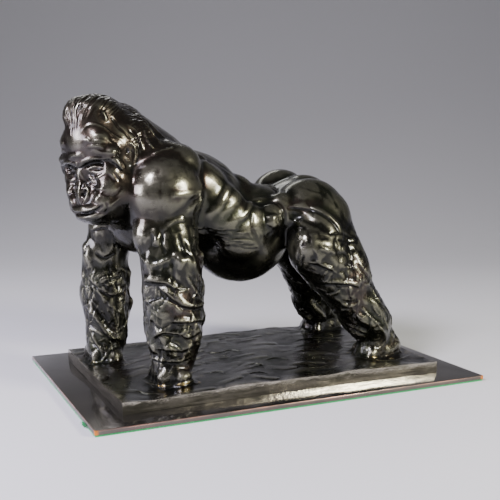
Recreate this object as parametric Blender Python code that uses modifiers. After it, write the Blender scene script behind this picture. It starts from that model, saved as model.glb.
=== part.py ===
"""A cast bronze gorilla walking on all fours, on a low ground block, a thin plate and a baize liner.

Metres, +Z up. The origin is at the middle of the underside. The gorilla faces -X and walks along the
plate; its left side is towards -Y, and it turns its head that way.
"""

import math

import bmesh
import bpy
import numpy as np
from mathutils import Euler, Matrix, Vector

MM = 0.001

# The stack under the figure.
FIT = 0.0003
BAIZE_THICK = 0.0015
PLATE_LENGTH = 0.450
PLATE_WIDTH = 0.305
PLATE_THICK = 0.0045
BAIZE_INSET = 0.0006

# The ground block, cast in one with the gorilla.
BLOCK_LENGTH = 0.373
BLOCK_WIDTH = 0.232
BLOCK_HEIGHT = 0.0130
BLOCK_MIDDLE = (-0.0025, -0.0045)
BLOCK_BOW = 0.0045

# The screws that hold the plate to the casting, from below.
SCREW_SHANK = 0.0050
SCREW_HEAD = 0.0096
SCREW_HEAD_DEPTH = 0.0023
SCREW_LENGTH = 0.0120
SCREW_INSET = 0.030
HOLE_BREAKTHROUGH = 0.001

# The gorilla, measured from the ground it stands on.
CHEST_HEIGHT = 0.188
CHEST_AHEAD = 0.085
HIP_HEIGHT = 0.167
HIP_BEHIND = 0.072
BELLY_HEIGHT = 0.143
HEAD_HEIGHT = 0.233
HEAD_AHEAD = 0.178
HEAD_TO_NEAR_SIDE = 0.022
HEAD_TURN = 30.0
FACE_LEAN = 6.5
NOSE_TO_FAR_SIDE = 0.003
SHOULDER_HEIGHT = 0.197
NEAR_ARM_AHEAD = 0.118
FAR_ARM_AHEAD = 0.158
NEAR_ARM_LEAN = 0.002
FAR_ARM_REACH = 0.018
NEAR_ARM_GIRTH = 0.94
FAR_ARM_GIRTH = 0.77
ARM_SPREAD_NEAR = 0.065
ARM_SPREAD_FAR = 0.053
ELBOW_HEIGHT = 0.100
WRIST_HEIGHT = 0.033
KNEE_HEIGHT = 0.129
LEG_SPREAD_NEAR = 0.063
LEG_SPREAD_FAR = 0.088
NEAR_HEEL_BEHIND = 0.158
FAR_HEEL_BEHIND = 0.167

# How finely the clay is modelled.
VOXEL = 0.0027
SMOOTH_STEPS = 5
SMOOTH_SHARE = 0.6
LEAST_SMOOTHING = 0.25
DETAIL_REACH = 0.062
MOST_TRIANGLES = 10400
SLAB_SPARE = 0.012
TRIM_ABOVE_GROUND = 0.008
CUTTER_REACH = 0.5
CUTTER_DEPTH = 0.05

PLATE_UNDER = BAIZE_THICK + FIT
PLATE_TOP = PLATE_UNDER + PLATE_THICK
CAST_UNDER = PLATE_TOP + FIT
GROUND = PLATE_TOP + BLOCK_HEIGHT


def clear_scene():
    for obj in list(bpy.data.objects):
        bpy.data.objects.remove(obj, do_unlink=True)


def collection(name):
    made = bpy.data.collections.new(name)
    bpy.context.scene.collection.children.link(made)
    return made


def material(name, colour, roughness, metallic):
    made = bpy.data.materials.new(name)
    made.use_nodes = True
    shader = made.node_tree.nodes["Principled BSDF"]
    shader.inputs["Base Color"].default_value = (*colour, 1.0)
    shader.inputs["Roughness"].default_value = roughness
    shader.inputs["Metallic"].default_value = metallic
    return made


def mesh_object(name, bm, home, finish=None):
    mesh = bpy.data.meshes.new(name)
    bm.to_mesh(mesh)
    bm.free()
    made = bpy.data.objects.new(name, mesh)
    home.objects.link(made)
    if finish:
        mesh.materials.append(finish)
    return made


def box(name, low, high, home, finish=None):
    bm = bmesh.new()
    bmesh.ops.create_cube(bm, size=1.0)
    low, high = Vector(low), Vector(high)
    bmesh.ops.scale(bm, vec=high - low, verts=bm.verts)
    bmesh.ops.translate(bm, vec=(low + high) / 2, verts=bm.verts)
    return mesh_object(name, bm, home, finish)


def as_cutter(obj):
    obj.hide_render = True
    obj.display_type = "WIRE"
    return obj


def applied(obj):
    """The object with its modifiers worked into its mesh."""
    graph = bpy.context.evaluated_depsgraph_get()
    mesh = bpy.data.meshes.new_from_object(obj.evaluated_get(graph))
    obj.modifiers.clear()
    old = obj.data
    obj.data = mesh
    bpy.data.meshes.remove(old)
    return obj


def boolean(obj, other, operation):
    cut = obj.modifiers.new(operation.lower(), "BOOLEAN")
    cut.operation = operation
    cut.object = other
    cut.solver = "EXACT"


def unit_sphere(fineness):
    """A sphere of radius 1 as an array of points and one of triangles."""
    bm = bmesh.new()
    bmesh.ops.create_icosphere(bm, subdivisions=fineness, radius=1.0)
    points = np.array([vert.co for vert in bm.verts])
    faces = np.array([[vert.index for vert in face.verts] for face in bm.faces])
    bm.free()
    return points, faces


class Clay:
    """Lumps of clay pressed together. Places are in metres; offsets and radii are in millimetres."""

    def __init__(self):
        self.small = unit_sphere(2)
        self.large = unit_sphere(3)
        self.points = []
        self.faces = []
        self.count = 0

    def add(self, points, faces):
        self.points.append(points)
        self.faces.extend((faces + self.count).tolist())
        self.count += len(points)

    def mesh_object(self, name, home, finish):
        mesh = bpy.data.meshes.new(name)
        mesh.from_pydata(np.concatenate(self.points).tolist(), [], self.faces)
        mesh.materials.append(finish)
        made = bpy.data.objects.new(name, mesh)
        home.objects.link(made)
        return made

    def lump(self, anchor, offset, radii, turn=(0, 0, 0), frame=None):
        """An ellipsoid, turned in degrees, with its offset in the anchor's own frame."""
        frame = frame or Matrix.Identity(4)
        turned = Euler([math.radians(a) for a in turn]).to_matrix().to_4x4()
        place = Matrix.Translation(Vector(offset) * MM)
        size = Matrix.Diagonal((*[r * MM for r in radii], 1.0))
        whole = np.array(Matrix.Translation(anchor) @ frame @ place @ turned @ size)
        points, faces = self.large if max(radii) > 16 else self.small
        self.add(points @ whole[:3, :3].T + whole[:3, 3], faces)

    def limb(self, stations, depth=1.0):
        """Round beads close together through (place, radius), flattened along Y by depth."""
        for (a, r_a), (b, r_b) in zip(stations, stations[1:]):
            a, b = Vector(a), Vector(b)
            steps = max(2, round((b - a).length / (min(r_a, r_b) * MM) * 4))
            for i in range(steps + 1):
                t = i / steps
                r = r_a + (r_b - r_a) * t
                self.lump(a.lerp(b, t), (0, 0, 0), (r, r * depth, r))

    def strand(self, places, thick):
        """A lock of hair laid over the surface, tapering at both ends."""
        last = len(places) - 1
        ends = [thick * (0.45 + 0.55 * math.sin(math.pi * (i + 0.5) / (last + 1))) for i in range(last + 1)]
        self.limb(list(zip(places, ends)))

    def tufts(self, top, bottom, radius, depth, rows, around, size):
        """Rows of overlapping fur tufts round a limb, each flaring outwards at its lower end."""
        axis = (top - bottom).normalized()
        across = axis.orthogonal().normalized()
        for row in range(rows):
            middle = top.lerp(bottom, (row + 0.5) / rows)
            for number in range(around):
                uneven = 0.35 * math.sin(2.7 * number + 4.1 * row)
                angle = 2 * math.pi * (number + 0.5 * (row % 2) + uneven) / around
                out = Matrix.Rotation(angle, 3, axis) @ across
                reach = radius + 1.2 * math.sin(3.3 * row + 1.9 * number) - 0.35 * size[1]
                place = middle + Vector((out.x, out.y * depth, out.z)) * reach * MM
                frame = Matrix((out.cross(axis), out, axis)).transposed().to_4x4()
                lean = 26 + 14 * math.sin(1.3 * number + 2.2 * row)
                self.lump(place, (0, 0, 0), size, (-6, lean, 0), frame)


def spot(ahead, side, height):
    """A place by its distance ahead of the middle, to the far side, and above the ground."""
    return Vector((-ahead, side, GROUND + height))


CHEST = spot(CHEST_AHEAD, 0, CHEST_HEIGHT)
HIPS = spot(-HIP_BEHIND, 0, HIP_HEIGHT)
BELLY = spot(0.012, -0.002, BELLY_HEIGHT)
HEAD = spot(HEAD_AHEAD, -HEAD_TO_NEAR_SIDE, HEAD_HEIGHT)


def off(anchor, x, y, z):
    return anchor + Vector((x, y, z)) * MM


def model_trunk(clay):
    clay.lump(CHEST, (0, 0, -4), (75, 56, 60))
    clay.lump(CHEST, (-45, 2, -12), (38, 48, 48))
    clay.lump(CHEST, (10, 0, 15), (58, 36, 36))
    clay.lump(BELLY, (0, 0, 0), (59, 50, 54))
    clay.lump(CHEST, (66, 0, 0), (26, 24, 27.5))
    loin = (CHEST + HIPS) / 2
    clay.lump(loin, (6, 0, -17), (76, 44, 43))
    for side in (-1, 1):
        clay.lump(CHEST, (8, side * 38, 12), (38, 19, 32), (0, 24, 0))
        clay.lump(CHEST, (34, side * 42, -12), (46, 17, 30), (0, 42, 0))
        clay.lump(BELLY, (-14, side * 40, 10), (34, 15, 34), (0, 18, 0))
        clay.lump(BELLY, (20, side * 40, 20), (15, 13, 20))
        clay.lump(HIPS, (-40, side * 36, 4), (18, 13, 26), (0, -30, 0))


def model_hips(clay):
    clay.lump(HIPS, (-8, 0, -2), (48, 46, 43), (0, 16, 0))
    clay.lump(HIPS, (-4, -27, 0), (47, 33, 42), (0, 22, 0))
    clay.lump(HIPS, (10, -24, -22), (42, 32, 32))
    clay.lump(HIPS, (-16, 28, 9), (41, 32, 43))
    clay.lump(HIPS, (2, 2, 6), (40, 26, 40))
    clay.lump(HIPS, (22, -30, -14), (26, 26, 26))


def model_neck(clay):
    clay.limb([(off(CHEST, 0, 0, 18), 33), (off(CHEST, -36, -6, 38), 41.5), (off(CHEST, -65, -14, 53), 43),
               (off(HEAD, 6, 2, 14), 40)])
    clay.limb([(off(CHEST, -52, -32, 44), 27), (off(CHEST, -18, -46, 36), 26)])
    clay.limb([(off(CHEST, -54, 24, 32), 24), (off(CHEST, -36, 40, 20), 24)])
    clay.limb([(off(HEAD, 12, -14, -30), 30), (off(CHEST, -52, -10, 0), 40)])
    for number in range(4):
        drop = 15 * number
        for side in (-1, 1):
            start = off(HEAD, 26 - 2 * number, side * (30 + 2 * number) + 4, 22 - drop)
            middle = off(start, 22 - 2 * number, side * 7, -14)
            end = off(middle, 26 - 3 * number, side * 4, -12)
            clay.strand([start, middle, end], 5.5)


def model_head(clay):
    """The skull, turned towards the near side, and the face, which also leans with its far side low.
    Offsets are forward, to the gorilla's left, and up."""
    turn = math.radians(HEAD_TURN)
    lean = math.radians(FACE_LEAN)
    forward = Vector((-math.cos(turn), -math.sin(turn), 0))
    left = Vector((math.sin(turn), -math.cos(turn), 0))
    up = Vector((0, 0, 1))
    skull = Matrix((forward, left, up)).transposed().to_4x4()
    face = Matrix((forward, left * math.cos(lean) + up * math.sin(lean),
                   up * math.cos(lean) - left * math.sin(lean))).transposed().to_4x4()

    def lump(offset, radii, tilt=(0, 0, 0), frame=face):
        clay.lump(HEAD, offset, radii, tilt, frame)

    def both(offset, radii, tilt=(0, 0, 0), frame=face):
        for side in (-1, 1):
            turned = (side * tilt[0], tilt[1], side * tilt[2])
            lump((offset[0], side * offset[1], offset[2]), radii, turned, frame)

    # skull and crest
    lump((-3, 0, 14), (39, 36, 51), frame=skull)
    lump((6, 0, 39), (33, 29, 29), frame=skull)
    lump((8, 0, 49), (30, 27, 18), frame=skull)
    both((21, 18, 17), (16, 16, 16), frame=skull)
    lump((19, -8.5, 44.5), (21, 18, 20.5), frame=skull)
    lump((14, 0, 22), (26, 30, 36), frame=skull)
    lump((-27, 0, 28.5), (34, 26, 31.5), frame=skull)
    both((-18, 30, -18), (24, 16, 34), frame=skull)
    # brow, which frowns in the middle
    for side in (-1, 1):
        for step in range(8):
            across = step / 7
            frown = 3.5 * math.exp(-((across / 0.25) ** 2))
            lump((29 - 9.5 * across**2, side * 35.5 * across, 3.5 - frown), (7.5, 6.5, 6.5))
    lump((21, 0, 10), (13, 24, 11))
    both((16, 22, 9), (13, 13, 11))
    # eyes, with the bags below them, and cheekbones
    both((17, 17, -10), (6.5, 6.5, 6.5))
    both((19, 18, -18), (10, 10, 6))
    both((13, 28, -16), (14, 11, 12))
    both((4, 28, -10), (22, 10, 26))
    # nose, and the broad muzzle behind it
    middle = -NOSE_TO_FAR_SIDE / MM
    lump((25, middle, -14), (9, 6.5, 14))
    lump((26.5, middle, -37), (9, 9.5, 12))
    for side in (-1, 1):
        lump((28, middle + 7 * side, -33), (6.5, 5, 7))
    lump((11, 0, -40), (22, 25, 18))
    both((14, 17, -44), (18, 16, 17))
    both((12, 24, -30), (17, 13, 17))
    # lips, chin and jaw
    lump((19, 0, -50), (14, 20, 6.5))
    both((16, 14, -51), (15, 16, 8))
    both((12, 13, -59), (14, 13, 8))
    lump((17, 0, -59), (14, 18, 5.5))
    lump((12, 0, -62), (15, 16, 7.5))
    lump((4, 0, -57), (20, 19, 13))
    both((-2, 20, -35), (24, 14, 24))
    # ears
    for step in range(9):
        angle = math.radians(-60 + 30 * step)
        both((-7 + 6.5 * math.cos(angle), 36, 9 + 10 * math.sin(angle)), (3.2, 4, 3.2))
    both((-6, 33, 8), (6, 4, 9))


def model_hand(clay, wrist):
    """A hand resting on its knuckles, the fingers rolled under towards the front."""
    clay.limb([(wrist, 25), (off(wrist, -2, 0, -14), 22)], 0.9)
    clay.lump(wrist, (-3, 0, -20), (22, 23, 14))
    for finger in range(4):
        across = -16.5 + 11 * finger
        clay.lump(wrist, (-15, across, -25), (10, 6, 10))
        clay.lump(wrist, (-8, across, -29), (13, 5.5, 7))
    clay.lump(wrist, (4, -22, -26), (11, 6, 8), (0, 0, 25))


def model_arm(clay, ahead, side, spread, girth, shoulder_back):
    shoulder = spot(ahead - shoulder_back, side * (spread - 0.010), SHOULDER_HEIGHT)
    elbow = spot(ahead, side * spread, ELBOW_HEIGHT)
    wrist = spot(ahead - 0.002, side * spread, WRIST_HEIGHT)
    clay.lump(shoulder, (0, 0, 0), (41, 34, 42))
    clay.limb([(off(shoulder, 0, 0, -14), 36 * girth), (off(elbow, 0, 0, 14), 33 * girth)], 0.84)
    clay.limb([(off(elbow, 0, 0, 14), 33 * girth), (off(elbow, 2, 0, -28), 34 * girth)], 0.84)
    clay.limb([(off(elbow, 2, 0, -28), 34 * girth), (off(wrist, 0, 0, 4), 28 * girth)], 0.86)
    clay.lump(shoulder, (-20, side * 4, -38), (17, 20, 26), (0, 10, 0))
    clay.lump(elbow, (20 * girth, 0, 6), (14, 16, 22))
    clay.lump(elbow, (-10 * girth, side * 6, -22), (20, 20, 26))
    clay.lump(wrist, (5, 0, 18), (29 * girth, 25 * girth, 14))
    clay.tufts(off(elbow, 1, 0, 34), off(wrist, 2, 0, 4), 31.5 * girth, 0.86, 3, 8, (5.5, 5, 23))
    model_hand(clay, wrist)
    return wrist


def model_foot(clay, heel, side):
    clay.limb([(off(heel, -24, 0, 22), 21), (off(heel, -26, 0, 4), 18)], 0.9)
    clay.lump(heel, (0, 0, -1), (14, 13, 14))
    clay.limb([(off(heel, -16, side * -4, 20), 17), (off(heel, -4, 0, 2), 13)], 0.9)
    clay.lump(heel, (-19, 0, -4), (28, 17, 12))
    for toe in range(4):
        clay.lump(heel, (-38 + 2.2 * abs(toe - 1), side * (-6 + 7.5 * toe), -5), (9, 4.5, 6))
    clay.lump(heel, (-30, side * -17, -4), (12, 6, 7), (0, 0, side * 35))


def model_near_leg(clay):
    hip = off(HIPS, 6, -36, -2)
    knee = spot(-0.058, -LEG_SPREAD_NEAR + 0.004, KNEE_HEIGHT)
    heel = spot(-NEAR_HEEL_BEHIND, -LEG_SPREAD_NEAR, 0.011)
    ankle = off(heel, -26, 0, 26)
    calf = knee.lerp(ankle, 0.52)
    clay.limb([(off(hip, -2, 0, -4), 38), (off(knee, 4, 4, 4), 35)], 0.85)
    clay.limb([(knee, 33), (calf, 27)], 0.85)
    clay.limb([(calf, 27), (ankle, 24)], 0.88)
    clay.limb([(off(hip, 4, 0, -18), 35), (off(calf, 2, -2, 24), 27), (off(calf, 14, 0, -4), 22),
               (off(ankle, 7, 0, 6), 18)], 0.85)
    clay.lump(knee, (-12, -4, 6), (20, 22, 24))
    clay.tufts(off(knee, 8, 0, 0), off(ankle, 0, 0, -4), 25, 0.9, 3, 7, (5.5, 5, 22))
    model_foot(clay, heel, -1)
    return heel


def model_far_leg(clay):
    hip = off(HIPS, -12, 30, -4)
    knee = spot(-0.094, 0.050, KNEE_HEIGHT - 0.016)
    heel = spot(-FAR_HEEL_BEHIND, LEG_SPREAD_FAR, 0.011)
    ankle = off(heel, -32, -10, 22)
    calf = knee.lerp(ankle, 0.5)
    clay.limb([(hip, 43), (knee, 33)], 0.82)
    clay.limb([(knee, 32), (calf, 27), (ankle, 22)], 0.88)
    clay.limb([(off(hip, 18, 0, -18), 36), (off(calf, 10, 0, 10), 25), (off(ankle, 6, 0, 6), 18)], 0.85)
    clay.tufts(off(knee, 4, 0, 0), off(ankle, 0, 0, -4), 24, 0.9, 3, 7, (5.5, 5, 22))
    model_foot(clay, heel, 1)
    return heel


def terrain(x, y):
    """The height of the ground above the plate, rolling and higher towards the back."""
    waves = 0.9 * np.sin(x * 42 + 1.1) * np.cos(y * 35) + 0.6 * np.sin(x * 95 - y * 60)
    rise = 2.2 * math.exp(-(((x - 0.015) / 0.09) ** 2)) * (0.5 + 0.5 * math.tanh(y * 18))
    dip = -1.6 * math.exp(-(((x + 0.16) / 0.06) ** 2) - ((y + 0.09) / 0.06) ** 2)
    return BLOCK_HEIGHT + (waves + rise + dip) * MM


def model_ground(clay):
    """A slab a little larger and deeper than the block, which is then trimmed to its outline."""
    slab = bmesh.new()
    bmesh.ops.create_cube(slab, size=1.0)
    bmesh.ops.subdivide_edges(slab, edges=slab.edges, cuts=40, use_grid_fill=True)
    slab.verts.index_update()
    middle_x, middle_y = BLOCK_MIDDLE
    for vert in slab.verts:
        share = vert.co.z + 0.5
        vert.co.x = middle_x + vert.co.x * (BLOCK_LENGTH + 2 * SLAB_SPARE)
        vert.co.y = middle_y + vert.co.y * (BLOCK_WIDTH + 2 * SLAB_SPARE)
        height = terrain(vert.co.x, vert.co.y)
        vert.co.z = PLATE_TOP - SLAB_SPARE + share * (SLAB_SPARE + height)
    points = np.array([vert.co for vert in slab.verts])
    faces = np.array([[vert.index for vert in face.verts] for face in slab.faces])
    slab.free()
    clay.add(points, faces)


def block_outline(home):
    """The block's footprint as a prism: straight sides, and a front edge that bows inwards."""
    half = BLOCK_LENGTH / 2
    front = [(half * t, -BLOCK_WIDTH / 2 + BLOCK_BOW * (1 - t * t)) for t in np.linspace(-1, 1, 13)]
    points = front + [(half, BLOCK_WIDTH / 2), (-half, BLOCK_WIDTH / 2)]
    curve = bpy.data.curves.new("block_outline", "CURVE")
    curve.dimensions = "2D"
    curve.fill_mode = "BOTH"
    curve.extrude = 2 * CUTTER_DEPTH
    spline = curve.splines.new("POLY")
    spline.points.add(len(points) - 1)
    for point, (x, y) in zip(spline.points, points):
        point.co = (BLOCK_MIDDLE[0] + x, BLOCK_MIDDLE[1] + y, 0, 1)
    spline.use_cyclic_u = True
    outline = bpy.data.objects.new("block_outline", curve)
    home.objects.link(outline)
    graph = bpy.context.evaluated_depsgraph_get()
    mesh = bpy.data.meshes.new_from_object(outline.evaluated_get(graph))
    bpy.data.objects.remove(outline, do_unlink=True)
    bm = bmesh.new()
    bm.from_mesh(mesh)
    bmesh.ops.remove_doubles(bm, verts=bm.verts, dist=1e-5)
    bmesh.ops.recalc_face_normals(bm, faces=bm.faces)
    return mesh_object("block_outline", bm, home)


def screw_places():
    reach_x = BLOCK_LENGTH / 2 - SCREW_INSET
    reach_y = BLOCK_WIDTH / 2 - SCREW_INSET
    middle_x, middle_y = BLOCK_MIDDLE
    return [(middle_x + i * reach_x, middle_y + j * reach_y) for i in (-1, 1) for j in (-1, 1)]


def turned(name, profile, home, finish=None, sides=20):
    """A solid turned about Z from (radius, height) points, top to bottom."""
    bm = bmesh.new()
    verts = [bm.verts.new((r, 0, z)) for r, z in profile]
    for a, b in zip(verts, verts[1:]):
        bm.edges.new((a, b))
    made = mesh_object(name, bm, home, finish)
    screw = made.modifiers.new("turn", "SCREW")
    screw.steps = screw.render_steps = sides
    screw.use_merge_vertices = True
    screw.merge_threshold = 1e-5
    return made


def screw_profile(clearance=0.0):
    """Countersunk, its head flush with the plate's underside; clearance widens it into its hole."""
    shank = SCREW_SHANK / 2 + clearance
    head = SCREW_HEAD / 2 + clearance
    tip = PLATE_UNDER + SCREW_LENGTH + clearance
    under = PLATE_UNDER - (HOLE_BREAKTHROUGH if clearance else 0.0)
    return [(0, tip), (shank, tip), (shank, PLATE_UNDER + SCREW_HEAD_DEPTH), (head, PLATE_UNDER + clearance),
            (head, under), (0, under)]


def make_casting(home, cutters, finish):
    clay = Clay()
    model_trunk(clay)
    model_hips(clay)
    model_neck(clay)
    model_head(clay)
    wrists = [model_arm(clay, NEAR_ARM_AHEAD, -1, ARM_SPREAD_NEAR, NEAR_ARM_GIRTH, -NEAR_ARM_LEAN),
              model_arm(clay, FAR_ARM_AHEAD, 1, ARM_SPREAD_FAR, FAR_ARM_GIRTH, FAR_ARM_REACH)]
    heels = [model_near_leg(clay), model_far_leg(clay)]
    model_ground(clay)
    casting = clay.mesh_object("gorilla_casting", home, finish)

    fuse = casting.modifiers.new("fuse", "REMESH")
    fuse.mode = "VOXEL"
    fuse.voxel_size = VOXEL
    applied(casting)
    smooth_clay(casting, [HEAD] + wrists + heels)
    thin = casting.modifiers.new("thin", "DECIMATE")
    thin.ratio = MOST_TRIANGLES / sum(len(p.vertices) - 2 for p in casting.data.polygons)
    applied(casting)

    low = (-CUTTER_REACH, -CUTTER_REACH, -CUTTER_DEPTH)
    trim = GROUND + TRIM_ABOVE_GROUND
    sides = as_cutter(box("block_sides", low, (CUTTER_REACH, CUTTER_REACH, trim), cutters))
    boolean(sides, block_outline(cutters), "DIFFERENCE")
    applied(sides)
    as_cutter(bpy.data.objects["block_outline"])
    under = as_cutter(box("underside", low, (CUTTER_REACH, CUTTER_REACH, CAST_UNDER), cutters))
    boolean(casting, sides, "DIFFERENCE")
    boolean(casting, under, "DIFFERENCE")
    return casting


def smooth_clay(casting, detailed):
    """Rounds the joins between lumps, less so where the modelling is fine."""
    mesh = casting.data
    places = np.empty(len(mesh.vertices) * 3)
    mesh.vertices.foreach_get("co", places)
    places = places.reshape(-1, 3)
    nearest = np.min([np.linalg.norm(places - np.array(place), axis=1) for place in detailed], axis=0)
    weights = LEAST_SMOOTHING + (1 - LEAST_SMOOTHING) * np.clip(nearest / DETAIL_REACH, 0, 1) ** 2
    group = casting.vertex_groups.new(name="soft")
    for index, weight in enumerate(weights):
        group.add([index], float(weight), "REPLACE")
    smooth = casting.modifiers.new("smooth", "SMOOTH")
    smooth.factor = SMOOTH_SHARE
    smooth.iterations = SMOOTH_STEPS
    smooth.vertex_group = "soft"
    applied(casting)


def make_plate(home, finish):
    half = Vector((PLATE_LENGTH / 2, PLATE_WIDTH / 2))
    return box("base_plate", (-half.x, -half.y, PLATE_UNDER), (half.x, half.y, PLATE_TOP), home, finish)


def make_baize(home, finish):
    half = Vector((PLATE_LENGTH / 2 - BAIZE_INSET, PLATE_WIDTH / 2 - BAIZE_INSET))
    return box("baize_liner", (-half.x, -half.y, 0), (half.x, half.y, BAIZE_THICK), home, finish)


def make_screws(home, cutters, finish, held):
    """Four screws, each with its own clearance hole through the plate and into the casting."""
    for number, (x, y) in enumerate(screw_places(), 1):
        screw = turned(f"plate_screw_{number}", screw_profile(), home, finish)
        hole = as_cutter(turned(f"screw_hole_{number}", screw_profile(FIT), cutters))
        screw.location = hole.location = (x, y, 0)
        for piece in held:
            boolean(piece, hole, "DIFFERENCE")


def main():
    clear_scene()
    home = collection("gorilla_figurine")
    cutters = collection("cutters")
    bronze = material("bronze_patina", (0.045, 0.038, 0.026), 0.28, 1.0)
    polished = material("bronze_polished", (0.07, 0.06, 0.045), 0.14, 1.0)
    baize = material("green_baize", (0.02, 0.30, 0.09), 0.95, 0.0)
    steel = material("screw_steel", (0.45, 0.45, 0.44), 0.35, 1.0)
    casting = make_casting(home, cutters, bronze)
    plate = make_plate(home, polished)
    make_baize(home, baize)
    make_screws(home, cutters, steel, [plate, casting])


main()
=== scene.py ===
# %% [markdown]
# # A cast bronze gorilla on its plate
# The real figurine began as clay: big lumps for the body, then hundreds of strokes with the thumb, the
# knife and a wire comb. It was cast in bronze in one piece with its ground, waxed and screwed to a thin
# plate with green baize under it. This lesson works in the same order. It takes the plain casting from
# the frame, makes it one dense skin, and then lays strokes on it.

import math

import bmesh
import bpy
import numpy as np
from mathutils import Matrix, Vector
from mathutils.bvhtree import BVHTree


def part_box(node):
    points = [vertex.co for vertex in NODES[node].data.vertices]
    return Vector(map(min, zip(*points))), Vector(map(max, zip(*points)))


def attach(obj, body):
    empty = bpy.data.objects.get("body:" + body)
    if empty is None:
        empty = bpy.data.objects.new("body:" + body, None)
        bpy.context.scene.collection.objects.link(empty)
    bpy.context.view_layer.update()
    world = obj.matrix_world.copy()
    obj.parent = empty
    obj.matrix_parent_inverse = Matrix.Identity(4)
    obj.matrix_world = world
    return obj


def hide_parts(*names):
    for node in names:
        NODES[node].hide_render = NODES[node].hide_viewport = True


MM = 0.001
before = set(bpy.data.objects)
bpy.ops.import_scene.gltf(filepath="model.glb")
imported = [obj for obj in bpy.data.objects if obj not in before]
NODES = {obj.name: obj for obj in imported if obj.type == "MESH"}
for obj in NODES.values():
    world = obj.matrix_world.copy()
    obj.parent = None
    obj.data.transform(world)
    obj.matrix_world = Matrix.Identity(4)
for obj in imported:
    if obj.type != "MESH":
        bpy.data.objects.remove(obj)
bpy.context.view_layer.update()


def node_box(name):
    """A node's lowest and highest corners in millimetres."""
    return [np.array(corner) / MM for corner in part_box(name)]


PLATE_LOW, PLATE_HIGH = node_box("base_plate")
CASTING_LOW, CASTING_HIGH = node_box("gorilla_casting")
BAIZE_LOW, BAIZE_HIGH = node_box("baize_liner")
print("casting, mm:", CASTING_LOW.round(1), CASTING_HIGH.round(1))

# %% [markdown]
# ## The camera
# The plate's four corners in the photograph fix where the camera stood. A pixel of the photograph is
# then a ray from that place, which later puts each stroke where the sculptor put it.

# %% The camera, and the ray through a pixel
PHOTO_SIDE = 500
FOCAL_PIXELS = 848.6
SENSOR = 36.0
EYE = np.array([-411.0, -895.3, 269.1])
YAW = math.radians(24.8)
PITCH = math.radians(7.2)
AHEAD = np.array([math.sin(YAW) * math.cos(PITCH), math.cos(YAW) * math.cos(PITCH), -math.sin(PITCH)])
RIGHT = np.array([math.cos(YAW), -math.sin(YAW), 0.0])
UPWARD = np.cross(RIGHT, AHEAD)

camera_data = bpy.data.cameras.new("camera")
camera_data.sensor_width = SENSOR
camera_data.lens = FOCAL_PIXELS / PHOTO_SIDE * SENSOR
camera = bpy.data.objects.new("camera", camera_data)
camera.location = EYE * MM
camera.rotation_euler = (math.pi / 2 - PITCH, 0, -YAW)
bpy.context.scene.collection.objects.link(camera)
bpy.context.scene.camera = camera


def pixel_ray(x, y):
    """The direction in which a pixel of the 500 by 500 photograph looks."""
    half = PHOTO_SIDE / 2
    across = RIGHT * (x - half) / FOCAL_PIXELS
    drop = UPWARD * (y - half) / FOCAL_PIXELS
    return Vector(across - drop + AHEAD).normalized()


print("lens, mm:", round(camera_data.lens, 1))


# %% [markdown]
# ## The floor
# A sheet of pale paper that lies flat and then sweeps up behind the object, so that no horizon shows.
# Its bend is a quarter circle, drawn once and pulled sideways.

# %% A paper sweep for a floor
SWEEP_FRONT = -9.0
SWEEP_BACK = 0.9
SWEEP_BEND = 2.8
SWEEP_TOP = 4.0
SWEEP_HALF_WIDTH = 9.0


def make_material(name):
    made = bpy.data.materials.new(name)
    made.use_nodes = True
    return made, made.node_tree, made.node_tree.nodes["Principled BSDF"]


def make_sweep():
    bends = [math.pi / 2 * i / 24 for i in range(25)]
    profile = [(SWEEP_FRONT, 0.0)]
    profile += [(SWEEP_BACK + SWEEP_BEND * math.sin(a), SWEEP_BEND * (1 - math.cos(a))) for a in bends]
    profile.append((SWEEP_BACK + SWEEP_BEND, SWEEP_TOP))
    bm = bmesh.new()
    rows = [[bm.verts.new((side * SWEEP_HALF_WIDTH, y, z)) for side in (-1, 1)] for y, z in profile]
    for a, b in zip(rows, rows[1:]):
        bm.faces.new((a[0], a[1], b[1], b[0]))
    mesh = bpy.data.meshes.new("paper_sweep")
    bm.to_mesh(mesh)
    bm.free()
    mesh.shade_smooth()
    sweep = bpy.data.objects.new("paper_sweep", mesh)
    sweep.rotation_euler.z = -YAW
    bpy.context.scene.collection.objects.link(sweep)
    paper, _, shader = make_material("pale_paper")
    shader.inputs["Base Color"].default_value = (0.62, 0.62, 0.63, 1)
    shader.inputs["Roughness"].default_value = 0.8
    shader.inputs["Specular IOR Level"].default_value = 0.2
    mesh.materials.append(paper)


make_sweep()

# %% [markdown]
# ## The light
# Waxed bronze shows little colour of its own: it shows the lamps. Two cool soft boxes on the left, one
# high and one low, and a warm one on the right give the bright patches. A wide, weak one above and
# behind draws the pale line along the back.

# %% Four soft boxes and a dim room
TARGET = Vector((-0.02, 0, 0.16))


def softbox(name, place, size, watts, colour):
    lamp = bpy.data.lights.new(name, "AREA")
    lamp.shape = "RECTANGLE"
    lamp.size, lamp.size_y = size
    lamp.energy = watts
    lamp.color = colour
    made = bpy.data.objects.new(name, lamp)
    made.location = place
    made.rotation_euler = (TARGET - Vector(place)).to_track_quat("-Z", "Y").to_euler()
    bpy.context.scene.collection.objects.link(made)


softbox("left_softbox", (-0.95, -0.55, 1.08), (0.36, 0.32), 36, (0.86, 0.82, 1.0))
softbox("low_softbox", (-1.45, -0.05, 0.42), (0.6, 0.45), 26, (0.86, 0.82, 1.0))
softbox("right_softbox", (0.80, -1.17, 0.64), (0.36, 0.24), 32, (1.0, 0.97, 0.84))
softbox("top_softbox", (-0.1, 1.1, 1.2), (1.3, 0.3), 4, (1.0, 1.0, 1.0))

room = bpy.data.worlds.new("room")
room.use_nodes = True
room.node_tree.nodes["Background"].inputs["Color"].default_value = (0.42, 0.43, 0.45, 1)
room.node_tree.nodes["Background"].inputs["Strength"].default_value = 0.25
bpy.context.scene.world = room

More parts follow.
